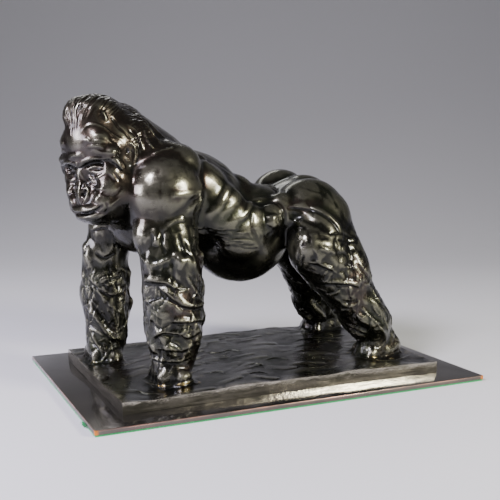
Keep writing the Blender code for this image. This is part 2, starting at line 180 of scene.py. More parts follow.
# %% [markdown]
# ## The clay skin
# The frame's casting is coarse: a few thousand flat triangles. Subdivision rounds them, and a voxel
# remesh turns figure and ground into one even skin of small squares, which is what strokes need. The
# ground is laid a little too wide here, and is cut to the block's straight sides at the end, the way
# a slab of clay is trimmed with a knife.

# %% Where the body's parts are, in millimetres
PLATE_TOP = PLATE_HIGH[2]
BLOCK_HEIGHT = 13.0
GROUND = PLATE_TOP + BLOCK_HEIGHT
BLOCK_LENGTH = 373.0
BLOCK_WIDTH = 232.0
BLOCK_MIDDLE = (-2.5, -4.5)
BLOCK_BOW = 4.5
HEAD = np.array([-178.0, -22.0, GROUND + 233])
HEAD_TURN = math.radians(30)
FACE_LEAN = math.radians(6.5)
NOSE_LEFT = -3.0
LEVEL = np.array([0.0, 0.0, 1.0])
FACE_AHEAD = np.array([-math.cos(HEAD_TURN), -math.sin(HEAD_TURN), 0])
SKULL_LEFT = np.array([math.sin(HEAD_TURN), -math.cos(HEAD_TURN), 0])
FACE_LEFT = SKULL_LEFT * math.cos(FACE_LEAN) + LEVEL * math.sin(FACE_LEAN)
FACE_UP = LEVEL * math.cos(FACE_LEAN) - SKULL_LEFT * math.sin(FACE_LEAN)
NEAR_WRIST = np.array([-116.0, -65.0, GROUND + 33])
FAR_WRIST = np.array([-156.0, 53.0, GROUND + 33])
NEAR_FOOT = np.array([140.0, -63.0, GROUND + 11])
FAR_FOOT = np.array([149.0, 88.0, GROUND + 11])
SKULL_AXES = np.stack([FACE_AHEAD, SKULL_LEFT, LEVEL], 1)


def ground_height(x, y):
    """The rolling ground, which rises towards the back, above the plate."""
    x, y = x * MM, y * MM
    waves = 0.9 * np.sin(x * 42 + 1.1) * np.cos(y * 35) + 0.6 * np.sin(x * 95 - y * 60)
    rise = 2.2 * np.exp(-(((x - 0.015) / 0.09) ** 2)) * (0.5 + 0.5 * np.tanh(y * 18))
    dip = -1.6 * np.exp(-(((x + 0.16) / 0.06) ** 2) - ((y + 0.09) / 0.06) ** 2)
    return BLOCK_HEIGHT + waves + rise + dip


# %% Fuse figure and ground into one skin
VOXEL = 1.2 * MM
GROUND_SPARE = 9.0
SKIN_OVER_FRAME = 0.3
FINE_REACH = 66


def new_object(name, bm):
    mesh = bpy.data.meshes.new(name)
    bm.to_mesh(mesh)
    bm.free()
    made = bpy.data.objects.new(name, mesh)
    bpy.context.scene.collection.objects.link(made)
    return made


def apply_modifiers(obj):
    graph = bpy.context.evaluated_depsgraph_get()
    mesh = bpy.data.meshes.new_from_object(obj.evaluated_get(graph))
    obj.modifiers.clear()
    old = obj.data
    obj.data = mesh
    bpy.data.meshes.remove(old)


def welded(name):
    """A node's mesh with the corners joined that the frame's file keeps apart."""
    bm = bmesh.new()
    bm.from_mesh(NODES[name].data)
    bmesh.ops.remove_doubles(bm, verts=bm.verts, dist=1e-6)
    return bm


def ground_slab():
    bm = bmesh.new()
    bmesh.ops.create_cube(bm, size=1.0)
    bmesh.ops.subdivide_edges(bm, edges=bm.edges, cuts=60, use_grid_fill=True)
    low = PLATE_TOP - 4
    for vert in bm.verts:
        x = BLOCK_MIDDLE[0] + vert.co.x * (BLOCK_LENGTH + 2 * GROUND_SPARE)
        y = BLOCK_MIDDLE[1] + vert.co.y * (BLOCK_WIDTH + 2 * GROUND_SPARE)
        top = PLATE_TOP + ground_height(x, y) + SKIN_OVER_FRAME
        vert.co = Vector((x, y, low + (vert.co.z + 0.5) * (top - low))) * MM
    return bm


def eased(low, high, x):
    """0 below low, 1 above high, and a smooth curve between."""
    t = np.clip((x - low) / (high - low), 0, 1)
    return t * t * (3 - 2 * t)


def smooth_line(corners, spacing):
    """Points about spacing apart on a smooth curve through the corners."""
    corners = [np.array(c, float) for c in corners]
    if len(corners) == 1:
        return corners
    ends = [2 * corners[0] - corners[1]] + corners + [2 * corners[-1] - corners[-2]]
    line = []
    for a, b, c, d in zip(ends, ends[1:], ends[2:], ends[3:]):
        count = max(1, round(np.linalg.norm(c - b) / spacing))
        for i in range(count):
            t = i / count
            line.append(0.5 * (2 * b + (c - a) * t + (2 * a - 5 * b + 4 * c - d) * t**2
                               + (3 * b - a - 3 * c + d) * t**3))
    return line + [corners[-1]]


def add_lump(bm, ahead, left, up, radii):
    """A small egg of clay on the face, placed and sized along the face's own directions."""
    made = bmesh.ops.create_icosphere(bm, subdivisions=2, radius=1.0)["verts"]
    size = Matrix.Diagonal((*radii, 1.0))
    turned = Matrix((FACE_AHEAD, FACE_LEFT, FACE_UP)).transposed().to_4x4()
    place = Vector(HEAD) + turned.to_3x3() @ Vector((ahead, left, up))
    matrix = Matrix.Scale(MM, 4) @ Matrix.Translation(place) @ turned @ size
    bmesh.ops.transform(bm, matrix=matrix, verts=made)


def add_roll(bm, corners, thick, mirrored=True, middle=0.0):
    """A roll of clay through (ahead, left, up) corners, thinner at its end, and mirrored if asked."""
    line = smooth_line(corners, thick * 0.4)
    for side in (1, -1) if mirrored else (1,):
        for number, (ahead, left, up) in enumerate(line):
            radius = thick * (1 - 0.55 * eased(0.55, 1, number / len(line)))
            add_lump(bm, ahead, middle + side * left, up, (radius, radius, radius))


def face_clay():
    """The rolls and eggs that are too fine for the frame's casting."""
    bm = bmesh.new()
    # the brow and its outer ends, then eyeballs and nostril wings
    add_roll(bm, [(31.5, 0, -1.0), (31, 6, -0.2), (30, 12, 1.0), (27, 22, 2.0), (22.5, 33, 1.2)], 5.2)
    add_roll(bm, [(23, 33, 0), (18.5, 38, -6), (13.5, 41, -14)], 3.0)
    for side in (-1, 1):
        add_lump(bm, 15, side * 12.5, -10.5, (6.6, 6.8, 5.4))
        add_lump(bm, 28.5, NOSE_LEFT + side * 5, -40, (5, 4.5, 7))
    # the lower lids and the bags under them
    add_roll(bm, [(21, 9, -14), (22.5, 15, -18), (19.5, 22, -16.5), (13.5, 28, -12)], 3.0)
    add_roll(bm, [(24, 6.5, -16), (24, 12, -24), (20, 19, -27), (12.5, 29, -26)], 3.6)
    nose_bridge = [(28, 0, -10), (28.5, 0, -18), (30.5, 0, -25), (33.5, 0, -33), (33, 0, -44)]
    add_roll(bm, nose_bridge, 2.5, mirrored=False, middle=NOSE_LEFT)
    # the lips
    add_roll(bm, [(31, -1, -50), (30, 8, -50.5), (27.5, 16, -49), (22, 24, -45.5)], 4.4)
    add_roll(bm, [(28.5, -1, -59.5), (27.5, 8, -59.5), (24.5, 16, -57.5), (19.5, 23, -53)], 4.2)
    ear_rim = [(-3.5, 38, 1), (-0.5, 38.5, 8), (-2.5, 39, 15.5), (-8.5, 39.5, 18.5), (-13, 39.5, 13),
               (-13.5, 38, 4), (-9, 36.5, -4)]
    add_roll(bm, ear_rim, 2.0)
    return bm


def fused_skin():
    figure = new_object("figure", welded("gorilla_casting"))
    rounding = figure.modifiers.new("rounding", "SUBSURF")
    rounding.levels = rounding.render_levels = 2
    apply_modifiers(figure)
    both = bmesh.new()
    both.from_mesh(figure.data)
    slab = new_object("slab", ground_slab())
    both.from_mesh(slab.data)
    face = new_object("face", face_clay())
    both.from_mesh(face.data)
    for spent in (figure, slab, face):
        bpy.data.objects.remove(spent, do_unlink=True)
    skin = new_object("bronze_gorilla", both)
    fuse = skin.modifiers.new("fuse", "REMESH")
    fuse.mode = "VOXEL"
    fuse.voxel_size = VOXEL
    apply_modifiers(skin)
    return skin


def refine_head(obj):
    """Halves the skin's squares over the head, where the finest strokes go."""
    bm = bmesh.new()
    bm.from_mesh(obj.data)
    middle = Vector(HEAD + FACE_AHEAD * 8) * MM
    near = [edge for edge in bm.edges if (edge.verts[0].co - middle).length < FINE_REACH * MM]
    bmesh.ops.subdivide_edges(bm, edges=near, cuts=1, use_grid_fill=True)
    bm.to_mesh(obj.data)
    bm.free()


gorilla = fused_skin()
refine_head(gorilla)
print("skin points:", len(gorilla.data.vertices))

# %% [markdown]
# ## A tool for strokes
# A stroke is a path over the skin with a width, a height and a kind. Every skin point near the path
# moves along its own normal: a ridge rises, a groove sinks, a step has one steep side, and a lock of
# hair lies over what was there before and ends in a lip. Sorting the points into small cells first
# lets a stroke find its neighbours quickly.

# %% The skin and its strokes
CELL = 5.0


def read_points(mesh):
    points = np.empty(len(mesh.vertices) * 3)
    mesh.vertices.foreach_get("co", points)
    return points.reshape(-1, 3) / MM


def read_normals(mesh):
    normals = np.empty(len(mesh.vertices) * 3)
    mesh.vertex_normals.foreach_get("vector", normals)
    return normals.reshape(-1, 3)


def read_edges(mesh):
    edges = np.empty(len(mesh.edges) * 2, np.int32)
    mesh.edges.foreach_get("vertices", edges)
    return edges.reshape(-1, 2)


def write_points(mesh, points):
    mesh.vertices.foreach_set("co", (points * MM).ravel())
    mesh.update()


def neighbour_mean(values, edges):
    """Each point's mean over its neighbours along the mesh's edges."""
    count = len(values)
    degree = np.maximum(np.bincount(edges.ravel(), minlength=count), 1)
    columns = values.reshape(count, -1)
    a, b = edges[:, 0], edges[:, 1]
    sums = [np.bincount(a, c[b], count) + np.bincount(b, c[a], count) for c in columns.T]
    return (np.stack(sums, 1) / degree[:, None]).reshape(values.shape)


def relaxed(values, edges, steps, share=0.5):
    for _ in range(steps):
        values = values + share * (neighbour_mean(values, edges) - values)
    return values


def ridge(x, side, along):
    ends = eased(0, 0.22, along) * eased(0, 0.22, 1 - along)
    return (1 - x * x) ** 2 * ends


def groove(x, side, along):
    return -ridge(x, side, along)


def step(x, side, along):
    """Raised on the left of the path, steep at the path, with a small gutter on the right."""
    ends = eased(0, 0.18, along) * eased(0, 0.18, 1 - along)
    left = (1 - x) ** 2 * (1 + 2 * x)
    right = 1 - 1.45 * eased(0, 0.2, x) + 0.45 * eased(0.2, 0.7, x)
    return np.where(side > 0, left, right) * ends


def lock(x, side, along):
    """A lock of hair: (cover, level). It starts flush and ends in a raised, narrowing tip."""
    width = np.sqrt(np.clip(along / 0.3, 0.04, 1)) * (1 - 0.72 * eased(0.45, 1, along))
    x = x / width
    cover = (1 - eased(0.7, 1, x)) * eased(0, 0.35, along)
    return cover, (0.3 + 0.7 * along) * (1.08 - 0.5 * np.minimum(x, 1) ** 2)


def pad(x, side, along):
    """A flat dab of clay: (cover, level). Flush at its start, a low edge at its end."""
    cover = (1 - eased(0.62, 1, x)) * eased(0, 0.4, along)
    return cover, (0.35 + 0.65 * along) * (1 - 0.18 * x * side)


LAID_OVER = (lock, pad)


def clay_noise(points, size, seed):
    """Smooth random values from -1 to 1 over the skin, size millimetres apart."""
    cells = 32
    lattice = np.random.default_rng(seed).uniform(-1, 1, (cells, cells, cells))
    place = points / np.asarray(size, float)
    corner = np.floor(place).astype(int)
    t = place - corner
    t = t * t * (3 - 2 * t)
    total = np.zeros(len(points))
    for i in (0, 1):
        for j in (0, 1):
            for k in (0, 1):
                share = (t[:, 0] if i else 1 - t[:, 0]) * (t[:, 1] if j else 1 - t[:, 1])
                share = share * (t[:, 2] if k else 1 - t[:, 2])
                near = (corner + (i, j, k)) % cells
                total += share * lattice[near[:, 0], near[:, 1], near[:, 2]]
    return total


class Skin:
    """The clay's surface in millimetres; relief is how far strokes have moved each point."""

    def __init__(self, mesh):
        self.edges = read_edges(mesh)
        self.points = read_points(mesh)
        for _ in range(3):
            self.points = relaxed(self.points, self.edges, 2, 0.55)
            self.points = relaxed(self.points, self.edges, 1, -0.5)
        write_points(mesh, self.points)
        self.normals = read_normals(mesh)
        self.relief = np.zeros(len(self.points))
        self.pressure = np.ones(len(self.points))
        self.tree = BVHTree.FromPolygons(self.points.tolist(), [tuple(p.vertices) for p in mesh.polygons])
        self.low = self.points.min(0)
        cells = ((self.points - self.low) / CELL).astype(int)
        self.shape = cells.max(0) + 1
        keys = (cells[:, 0] * self.shape[1] + cells[:, 1]) * self.shape[2] + cells[:, 2]
        self.order = np.argsort(keys, kind="stable")
        self.keys = keys[self.order]

    def near(self, low, high):
        a = np.clip(((low - self.low) / CELL).astype(int), 0, self.shape - 1)
        b = np.clip(((high - self.low) / CELL).astype(int), 0, self.shape - 1)
        found = []
        for i in range(a[0], b[0] + 1):
            for j in range(a[1], b[1] + 1):
                row = (i * self.shape[1] + j) * self.shape[2]
                start, end = np.searchsorted(self.keys, (row + a[2], row + b[2] + 1))
                found.append(self.order[start:end])
        return np.concatenate(found)

    def stroke(self, path, width, height, kind):
        path = np.asarray(path, float)
        index = self.near(path.min(0) - width, path.max(0) + width)
        if not len(index):
            return
        place = self.points[index]
        normal = self.normals[index]
        best = np.full(len(index), 1e9)
        along = np.zeros(len(index))
        side = np.zeros(len(index))
        lengths = np.linalg.norm(np.diff(path, axis=0), axis=1)
        total = max(lengths.sum(), 1e-6)
        done = 0.0
        for start, end, length in zip(path, path[1:], lengths):
            if length < 0.02:
                continue
            heading = (end - start) / length
            t = np.clip((place - start) @ heading, 0, length)
            offset = place - start - t[:, None] * heading
            distance = np.linalg.norm(offset, axis=1)
            closer = distance < best
            best[closer] = distance[closer]
            along[closer] = (done + t[closer]) / total
            turn = np.cross(heading, offset[closer])
            side[closer] = np.sign(np.einsum("ij,ij->i", turn, normal[closer]))
            done += length
        guide = normal[best < 2.5].mean(0) if (best < 2.5).any() else normal.mean(0)
        keep = (best < width) & (normal @ guide > -0.1)
        index = index[keep]
        shape = kind(best[keep] / width, side[keep], along[keep])
        if kind in LAID_OVER:
            cover, level = shape
            self.relief[index] += cover * (level * height - self.relief[index])
        else:
            self.relief[index] += shape * height * self.pressure[index]

    def path(self, start, heading, length, bend=0.0, steps=6):
        """A path that runs over the skin from a place, in a heading, turning by bend in all."""
        place, normal, _, _ = self.tree.find_nearest(start)
        heading = Vector(heading)
        places = [place]
        for _ in range(steps):
            heading = Matrix.Rotation(bend / steps, 3, normal) @ (heading - normal * heading.dot(normal))
            heading.normalize()
            place, normal, _, _ = self.tree.find_nearest(place + heading * (length / steps))
            places.append(place)
        return places

    def seen_path(self, corners, spacing=2.0):
        """The skin's points that the photograph shows along a line through pixels."""
        pixels = smooth_line(corners, spacing)
        places = []
        for x, y in pixels:
            place, _, _, distance = self.tree.ray_cast(Vector(EYE), pixel_ray(x, y))
            if place is not None:
                places.append(place)
        return places


skin = Skin(gorilla.data)
print("smoothed skin, mm:", skin.points.min(0).round(1), skin.points.max(0).round(1))

# %% [markdown]
# ## Which part is which
# Fur on an arm runs down, hair on the crest runs up and back, and the ground was laid in long level
# dabs. So each skin point is given to a part first, by where it lies.

# %% Parts of the skin
X, Y, Z = skin.points.T
SKULL = (skin.points - HEAD) @ SKULL_AXES


def around(centre, reach):
    return np.hypot(X - centre[0], Y - centre[1]) < reach


on_ground = (Z < GROUND + 5) & ~around(NEAR_WRIST, 30) & ~around(FAR_WRIST, 26)
on_ground &= ~around(NEAR_FOOT, 30) & ~around(FAR_FOOT, 30)
on_near_arm = (Z > GROUND + 24) & (Z < GROUND + 165) & (X < -68) & (X > -175) & (Y < -26)
on_far_arm = (Z > GROUND + 22) & (Z < GROUND + 150) & (X < -100) & (X > -205) & (Y > 18)
on_near_leg = (Z > GROUND + 12) & (Z < GROUND + 150) & (X > 30) & (Y < -8)
on_far_leg = (Z > GROUND + 12) & (Z < GROUND + 140) & (X > 30) & (Y > 8)
on_head = (SKULL[:, 0] > -75) & (SKULL[:, 2] > -70) & (np.abs(SKULL[:, 1]) < 62) & (X < -110)
hairline = 42 - 22 * np.exp(-(((SKULL[:, 1] + 4) / 13) ** 2))
behind_temple = (SKULL[:, 2] > 6) & (SKULL[:, 0] < 4 - 0.2 * SKULL[:, 2])
before_nape = SKULL[:, 0] > np.maximum(-48, 1.4 * np.abs(SKULL[:, 1]) - 74)
has_hair = on_head & ((SKULL[:, 2] > hairline) | behind_temple) & before_nape
on_trunk = (Z > GROUND + 95) & ~on_head & ~on_near_arm & ~on_near_leg & ~on_far_arm & ~on_far_leg
print("ground", on_ground.sum(), "trunk", on_trunk.sum(), "hair", has_hair.sum())

# %% [markdown]
# ## Broad marks
# First come the marks that the sculptor made without looking twice: long flat dabs on the back and the
# ground, and locks of fur round the limbs. A seeded random draw picks where each starts. Locks are laid
# from the lowest up, so that each one ends over the one below it, like tiles on a roof.

# %% Scatter strokes over a part
draw = np.random.default_rng(41)


def scatter(where, count, flow, kind, length, width, height, stray=0.4, bend=0.6, from_below=False):
    """Lays count strokes on a part; flow gives the heading at a place, in the part's own way."""
    starts = skin.points[draw.choice(np.flatnonzero(where), count)]
    if from_below:
        starts = starts[np.argsort(starts[:, 2])]
    for start in starts:
        heading = Vector(flow(start))
        turn = Matrix.Rotation(draw.normal(0, stray), 3, skin.tree.find_nearest(start)[1])
        path = skin.path(start, turn @ heading, draw.uniform(*length), draw.normal(0, bend))
        skin.stroke(path, draw.uniform(*width), draw.uniform(*height), kind)


def comb(where, count, flow, length, tooth, depth, stray=0.4):
    """Fine parallel scratches, five teeth wide, as a wire comb leaves in hair."""
    for start in skin.points[draw.choice(np.flatnonzero(where), count)]:
        normal = skin.tree.find_nearest(start)[1]
        heading = Matrix.Rotation(draw.normal(0, stray), 3, normal) @ Vector(flow(start))
        across = np.array(normal.cross(heading).normalized())
        reach, bend, height = draw.uniform(*length), draw.normal(0, 0.25), draw.uniform(*depth)
        for number in range(-2, 3):
            path = skin.path(start + across * number * tooth * 1.7, heading, reach - 2 * abs(number), bend)
            skin.stroke(path, tooth, height, groove)


def down(place):
    return (0.15, 0, -1)


def down_and_back(place):
    return (0.75, 0, -0.65)


def along_body(place):
    return (1, 0, -0.25 if place[1] < 0 else -0.15)


def level(place):
    return (1, 0.12, 0)


def over_crest(place):
    """Up the forehead, back over the crest and down to the nape."""
    ahead, left, up = (np.array(place) - HEAD) @ SKULL_AXES
    ahead_heading = -(up - 4) - 14
    up_heading = ahead + 22
    return FACE_AHEAD * ahead_heading + SKULL_LEFT * left * 0.25 + LEVEL * up_heading


# %% [markdown]
# ## Uneven clay
# Fingers leave no surface even: between two presses stands a soft crease. Each press could be a stroke
# of its own, but that takes thousands. Random values on a coarse lattice, taken without their sign,
# give rounded flats with a crease wherever the sign turns. The same kind of values also varies how
# hard each stroke presses.

# %% Flats and creases on limbs and trunk
def uneven(size, seed):
    """Rounded flats with sharp creases between them, from 0 in a crease to 1 on a flat."""
    return np.abs(clay_noise(skin.points, size, seed)) ** 0.6


firmness = np.select([on_head, on_trunk], [0.75, 0.8], 1.0)
liveliness = np.select([on_head, on_trunk], [0.2, 0.35], 1.0)
waver = 0.45 * clay_noise(skin.points, 9, 3) + 0.3 * clay_noise(skin.points, 4, 5)
skin.pressure = firmness * (1 + liveliness * waver)
limbs = on_near_arm | on_far_arm | on_near_leg | on_far_leg
limb_share = relaxed(limbs.astype(float), skin.edges, 16, 0.8)
trunk_share = relaxed(on_trunk.astype(float), skin.edges, 16, 0.8)
skin.relief += limb_share * (1.5 * uneven((11, 11, 17), 7) + 0.7 * uneven((5, 5, 8), 8) - 1.0)
skin.relief += trunk_share * (0.5 * uneven((16, 16, 16), 9) + 0.15 * uneven((6, 4, 4), 10) - 0.3)

# %% [markdown]
# ## Ground, back and limbs
# Each part gets its own kinds of mark: level dabs on the ground, long flat ones on the back, locks and
# short folds on the limbs, and fine lines in the hair that run over the crest.

# %% Marks for ground, back, limbs and hair
scatter(on_ground, 300, level, pad, (24, 60), (4, 9), (0.2, 0.8), stray=0.35, bend=0.25)
scatter(on_ground, 50, level, ridge, (8, 30), (1.3, 2.0), (0.4, 0.9), stray=0.3, bend=0.5)
scatter(on_trunk, 110, along_body, pad, (34, 80), (10, 20), (0.15, 0.6), stray=0.45, bend=0.4)
scatter(on_trunk, 36, down_and_back, groove, (14, 40), (1.6, 3.0), (0.15, 0.4), stray=0.3, bend=0.4)
for limb, count in ((on_near_arm, 60), (on_far_arm, 50), (on_near_leg, 60), (on_far_leg, 56)):
    scatter(limb, count, down, lock, (26, 52), (9, 17), (0.4, 1.2), stray=0.35, bend=0.5, from_below=True)
    low_limb = limb & (Z < GROUND + 115)
    scatter(low_limb, count * 2, down, step, (10, 28), (2.2, 4.5), (0.35, 0.9), stray=1.1, bend=0.6)
    scatter(low_limb, count, down, groove, (6, 16), (1.0, 1.8), (0.3, 0.8), stray=1.2, bend=0.8)
    comb(limb, count, down, (10, 22), 1.3, (0.15, 0.4), stray=0.5)
comb(on_trunk, 26, down_and_back, (14, 30), 1.6, (0.12, 0.3), stray=0.4)
front_hair = has_hair & (SKULL[:, 0] > 6) & (np.abs(SKULL[:, 1] + 3) < 17)
scatter(front_hair, 90, over_crest, ridge, (14, 26), (0.9, 1.4), (0.25, 0.5), stray=0.06, bend=0.1)
scatter(front_hair, 90, over_crest, groove, (14, 26), (0.8, 1.2), (0.3, 0.5), stray=0.06, bend=0.1)
scatter(has_hair, 260, over_crest, ridge, (16, 36), (1.0, 1.8), (0.15, 0.4), stray=0.08, bend=0.15)
scatter(has_hair, 380, over_crest, groove, (14, 34), (0.8, 1.4), (0.2, 0.45), stray=0.08, bend=0.15)
print("relief after the broad marks, mm:", skin.relief.min().round(2), skin.relief.max().round(2))

# %% [markdown]
# ## Marks that the photograph shows
# The folds, creases and features that give this gorilla its look are laid one by one. Each is a line of
# pixels on the photograph, cast on to the skin. A step is raised above its line when the line is drawn
# from left to right, and below it when drawn from right to left.

# %% The face
FACE_MARKS = [
    # brow: the hard lower edge, the crease and the bulge above it, and the dark socket below
    (step, 5.0, 1.5, [(73, 167.3), (80, 166.3), (85, 163), (90, 160.3), (97, 159.3), (106, 159.2),
                      (113, 157.5)]),
    (groove, 1.6, 0.8, [(74, 162), (80, 160.5), (86, 157.5), (95, 156.3), (108, 156.5)]),
    (ridge, 4.0, 0.9, [(70, 157), (76, 155.5), (82, 154.5), (87, 155)]),
    (groove, 3.4, 4.0, [(83, 167.5), (89, 165), (96, 163.8), (105, 163.5)]),
    # the near eye: upper lid, slit, lower lid and the bags below it
    (ridge, 1.6, 0.9, [(88, 168), (92, 166.8), (98, 166.6), (104, 168)]),
    (groove, 1.1, 0.8, [(88, 169.4), (94, 169), (100, 168.9), (104.5, 168.8)]),
    (ridge, 1.5, 0.9, [(86.5, 169.8), (92, 171.7), (98, 171.9), (104, 169.6)]),
    (groove, 1.5, 0.6, [(86, 172.8), (91, 174.8), (97, 174.9), (103, 172.3)]),
    (step, 3.0, 0.6, [(86, 176), (91, 178.6), (97, 178.4), (103, 175), (108, 170.5)]),
    (step, 3.6, 1.1, [(84, 177.5), (88, 182.5), (93, 187), (99, 189.3), (106, 190)]),
    (groove, 1.4, 0.4, [(95, 182), (101, 184), (107, 183.5)]),
    # muzzle, mouth and chin
    (ridge, 3.8, 1.1, [(100.5, 195.5), (97, 198), (95.3, 203)]),
    (groove, 1.7, 0.8, [(92, 185.5), (94, 190.5), (92.7, 197), (89.5, 203)]),
    (groove, 2.0, 2.4, [(70, 211.5), (78, 213.9), (86, 213.9), (94, 211.4), (100, 207.6), (104.5, 203)]),
    (ridge, 1.8, 0.7, [(71, 209.6), (79, 211), (88, 210.6), (96, 207.4), (101.5, 203)]),
    (ridge, 2.4, 0.9, [(72.5, 216.2), (81, 217.6), (90, 216), (99, 211.6), (104.5, 206.8)]),
    (groove, 2.4, 1.0, [(76, 221), (85, 222.3), (95, 219.2), (103, 213.8)]),
    (groove, 1.7, 1.0, [(104.5, 202), (107, 205.3), (107.3, 209.5), (104, 214)]),
    # cheek: bone, creases and the edge of the jaw
    (ridge, 2.6, 1.3, [(111, 158.7), (117, 159.2), (122.3, 163.5), (125.5, 170)]),
    (groove, 2.0, 1.0, [(111, 163), (116, 165), (120, 170)]),
    (groove, 1.6, 1.1, [(107.5, 173.5), (111, 178), (114.5, 182)]),
    (groove, 1.6, 1.1, [(113.5, 171.5), (117, 177.5), (120.5, 182.5)]),
    (ridge, 1.4, 0.7, [(111, 172), (114.3, 177.5), (117.5, 182)]),
    (groove, 1.5, 0.7, [(101, 193), (106, 196), (110, 194)]),
    (ridge, 2.2, 0.9, [(121, 197), (114, 202.5), (106, 209)]),
    (groove, 2.2, 0.8, [(122, 186), (117, 193), (110, 198)]),
]
NOSE_MARKS = [
    (groove, 1.3, 0.7, [(78.5, 173.5), (80.5, 177.5), (82.5, 182)]),
    (groove, 1.2, 0.6, [(81.5, 171.5), (84, 175.5), (86.5, 180)]),
    (groove, 3.4, 1.1, [(89.5, 188), (91, 195), (88, 203)]),
    # the two nostrils, the bridge between them and the heart-shaped rim round both
    (groove, 4.0, 6.0, [(84.8, 188.5), (83.6, 192.5), (81.8, 197)]),
    (groove, 4.0, 6.0, [(74.2, 188.5), (74, 193), (75, 197.5)]),
    (ridge, 1.5, 0.9, [(79.2, 184), (78.9, 192), (78.6, 200)]),
    (ridge, 1.8, 1.4, [(80.5, 184), (84.8, 185), (87.6, 190), (86.8, 196), (84, 202), (80.6, 208)]),
    (ridge, 1.8, 1.3, [(76, 184), (71, 187), (68.9, 192), (71, 199), (74, 206)]),
]
BROW_MIDDLE_MARKS = [
    (groove, 1.5, 1.0, [(72, 158.5), (71.6, 163), (72.3, 167)]),
    (ridge, 2.0, 0.9, [(76.5, 162), (77.5, 166.5)]),
    (ridge, 1.6, 0.5, [(78.3, 174), (78.8, 180), (79, 186)]),
]
FOREHEAD_MARKS = [
    (step, 3.2, 0.9, [(126, 142), (120, 138), (114, 134.5), (107, 129), (100, 125), (92, 123.4),
                      (85, 126), (80, 132)]),
    (groove, 1.5, 0.6, [(84, 146), (92, 143.5), (101, 144), (109, 148)]),
    (groove, 1.4, 0.6, [(86, 150.5), (95, 148.5), (106, 151)]),
    (groove, 1.3, 0.5, [(92, 139), (101, 138.5), (110, 142)]),
    (ridge, 2.8, 0.9, [(84, 141.5), (87, 138.8), (89.5, 142)]),
    (ridge, 1.5, 0.5, [(93, 135.2), (98, 134.3), (103, 135)]),
    (ridge, 2.2, 0.7, [(95, 146), (101, 146.3), (105, 148.5)]),
    (ridge, 1.4, 0.6, [(110, 137), (117, 140.5), (122, 146)]),
    (ridge, 1.4, 0.6, [(106, 140), (114, 144), (119, 149)]),
    (groove, 1.5, 0.8, [(110, 150), (116, 152.5), (121, 157)]),
]
EAR_MARKS = [
    (ridge, 1.5, 1.0, [(125, 147.5), (126.8, 143.8), (131, 143), (134.6, 147.5), (135.2, 155),
                       (133, 163), (130, 166)]),
    (groove, 2.0, 2.8, [(127.3, 148.5), (127.8, 153)]),
    (groove, 1.3, 1.0, [(131.5, 148), (132.2, 154), (130.5, 160)]),
    (ridge, 1.3, 0.9, [(124.5, 157), (127.5, 160.5), (130, 159.5)]),
    (groove, 2.2, 1.6, [(137.5, 146), (138.3, 156), (135.5, 167)]),
]


def press(marks, mirrored=False):
    """Lays marks along pixel lines, and on the face's other side too if mirrored."""
    for kind, width, height, corners in marks:
        path = skin.seen_path(corners)
        if len(path) < 2:
            continue
        skin.stroke(path, width, height, kind)
        if mirrored:
            across = [(np.array(place) - HEAD) @ FACE_LEFT for place in path]
            other = [Vector(np.array(p) - 2 * a * FACE_LEFT) for p, a in zip(path, across)]
            snapped = [skin.tree.find_nearest(place)[0] for place in other]
            skin.stroke(snapped[::-1] if kind is step else snapped, width, height, kind)


press(FACE_MARKS, mirrored=True)
press(NOSE_MARKS)
press(BROW_MIDDLE_MARKS)
press(FOREHEAD_MARKS, mirrored=True)
press(EAR_MARKS, mirrored=True)

# %% [markdown]
# ## Neck, trunk, limbs and ground
# The same kinds of mark follow on the rest of the figure. The face's marks were mirrored, because a
# face is much alike on both sides. The two sides of a walking body differ, so these are laid only
# where the photograph shows them.

# %% Marks for neck, trunk, limbs and ground
NECK_MARKS = [
    (ridge, 2.0, 2.2, [(141.5, 120), (146.5, 126.5), (152.5, 134), (158, 140.8), (165, 146)]),
    (ridge, 2.2, 2.2, [(143.3, 129), (146.5, 139), (151, 146), (155, 149.5)]),
    (step, 4.0, 1.6, [(155, 135), (150, 128), (146, 122), (140, 117)]),
    (step, 3.6, 1.4, [(172, 143), (163, 136), (154, 127), (147, 118.5)]),
    (step, 4.0, 1.5, [(174, 147), (162, 149.5), (152, 154)]),
    (step, 3.4, 1.3, [(145, 153), (142, 143), (139, 135), (135, 129.5), (130, 126), (124, 123)]),
    (groove, 2.4, 1.4, [(127, 129), (134, 134), (138, 141), (139.5, 152)]),
    (groove, 2.4, 1.2, [(118, 106), (128, 110), (138, 115)]),
    (ridge, 2.8, 1.3, [(101, 110), (104.5, 115), (107, 122)]),
    (groove, 2.0, 1.2, [(110, 116), (114, 121), (118, 127), (125, 133)]),
    (groove, 1.7, 0.9, [(116, 126), (124, 132), (131, 140)]),
]
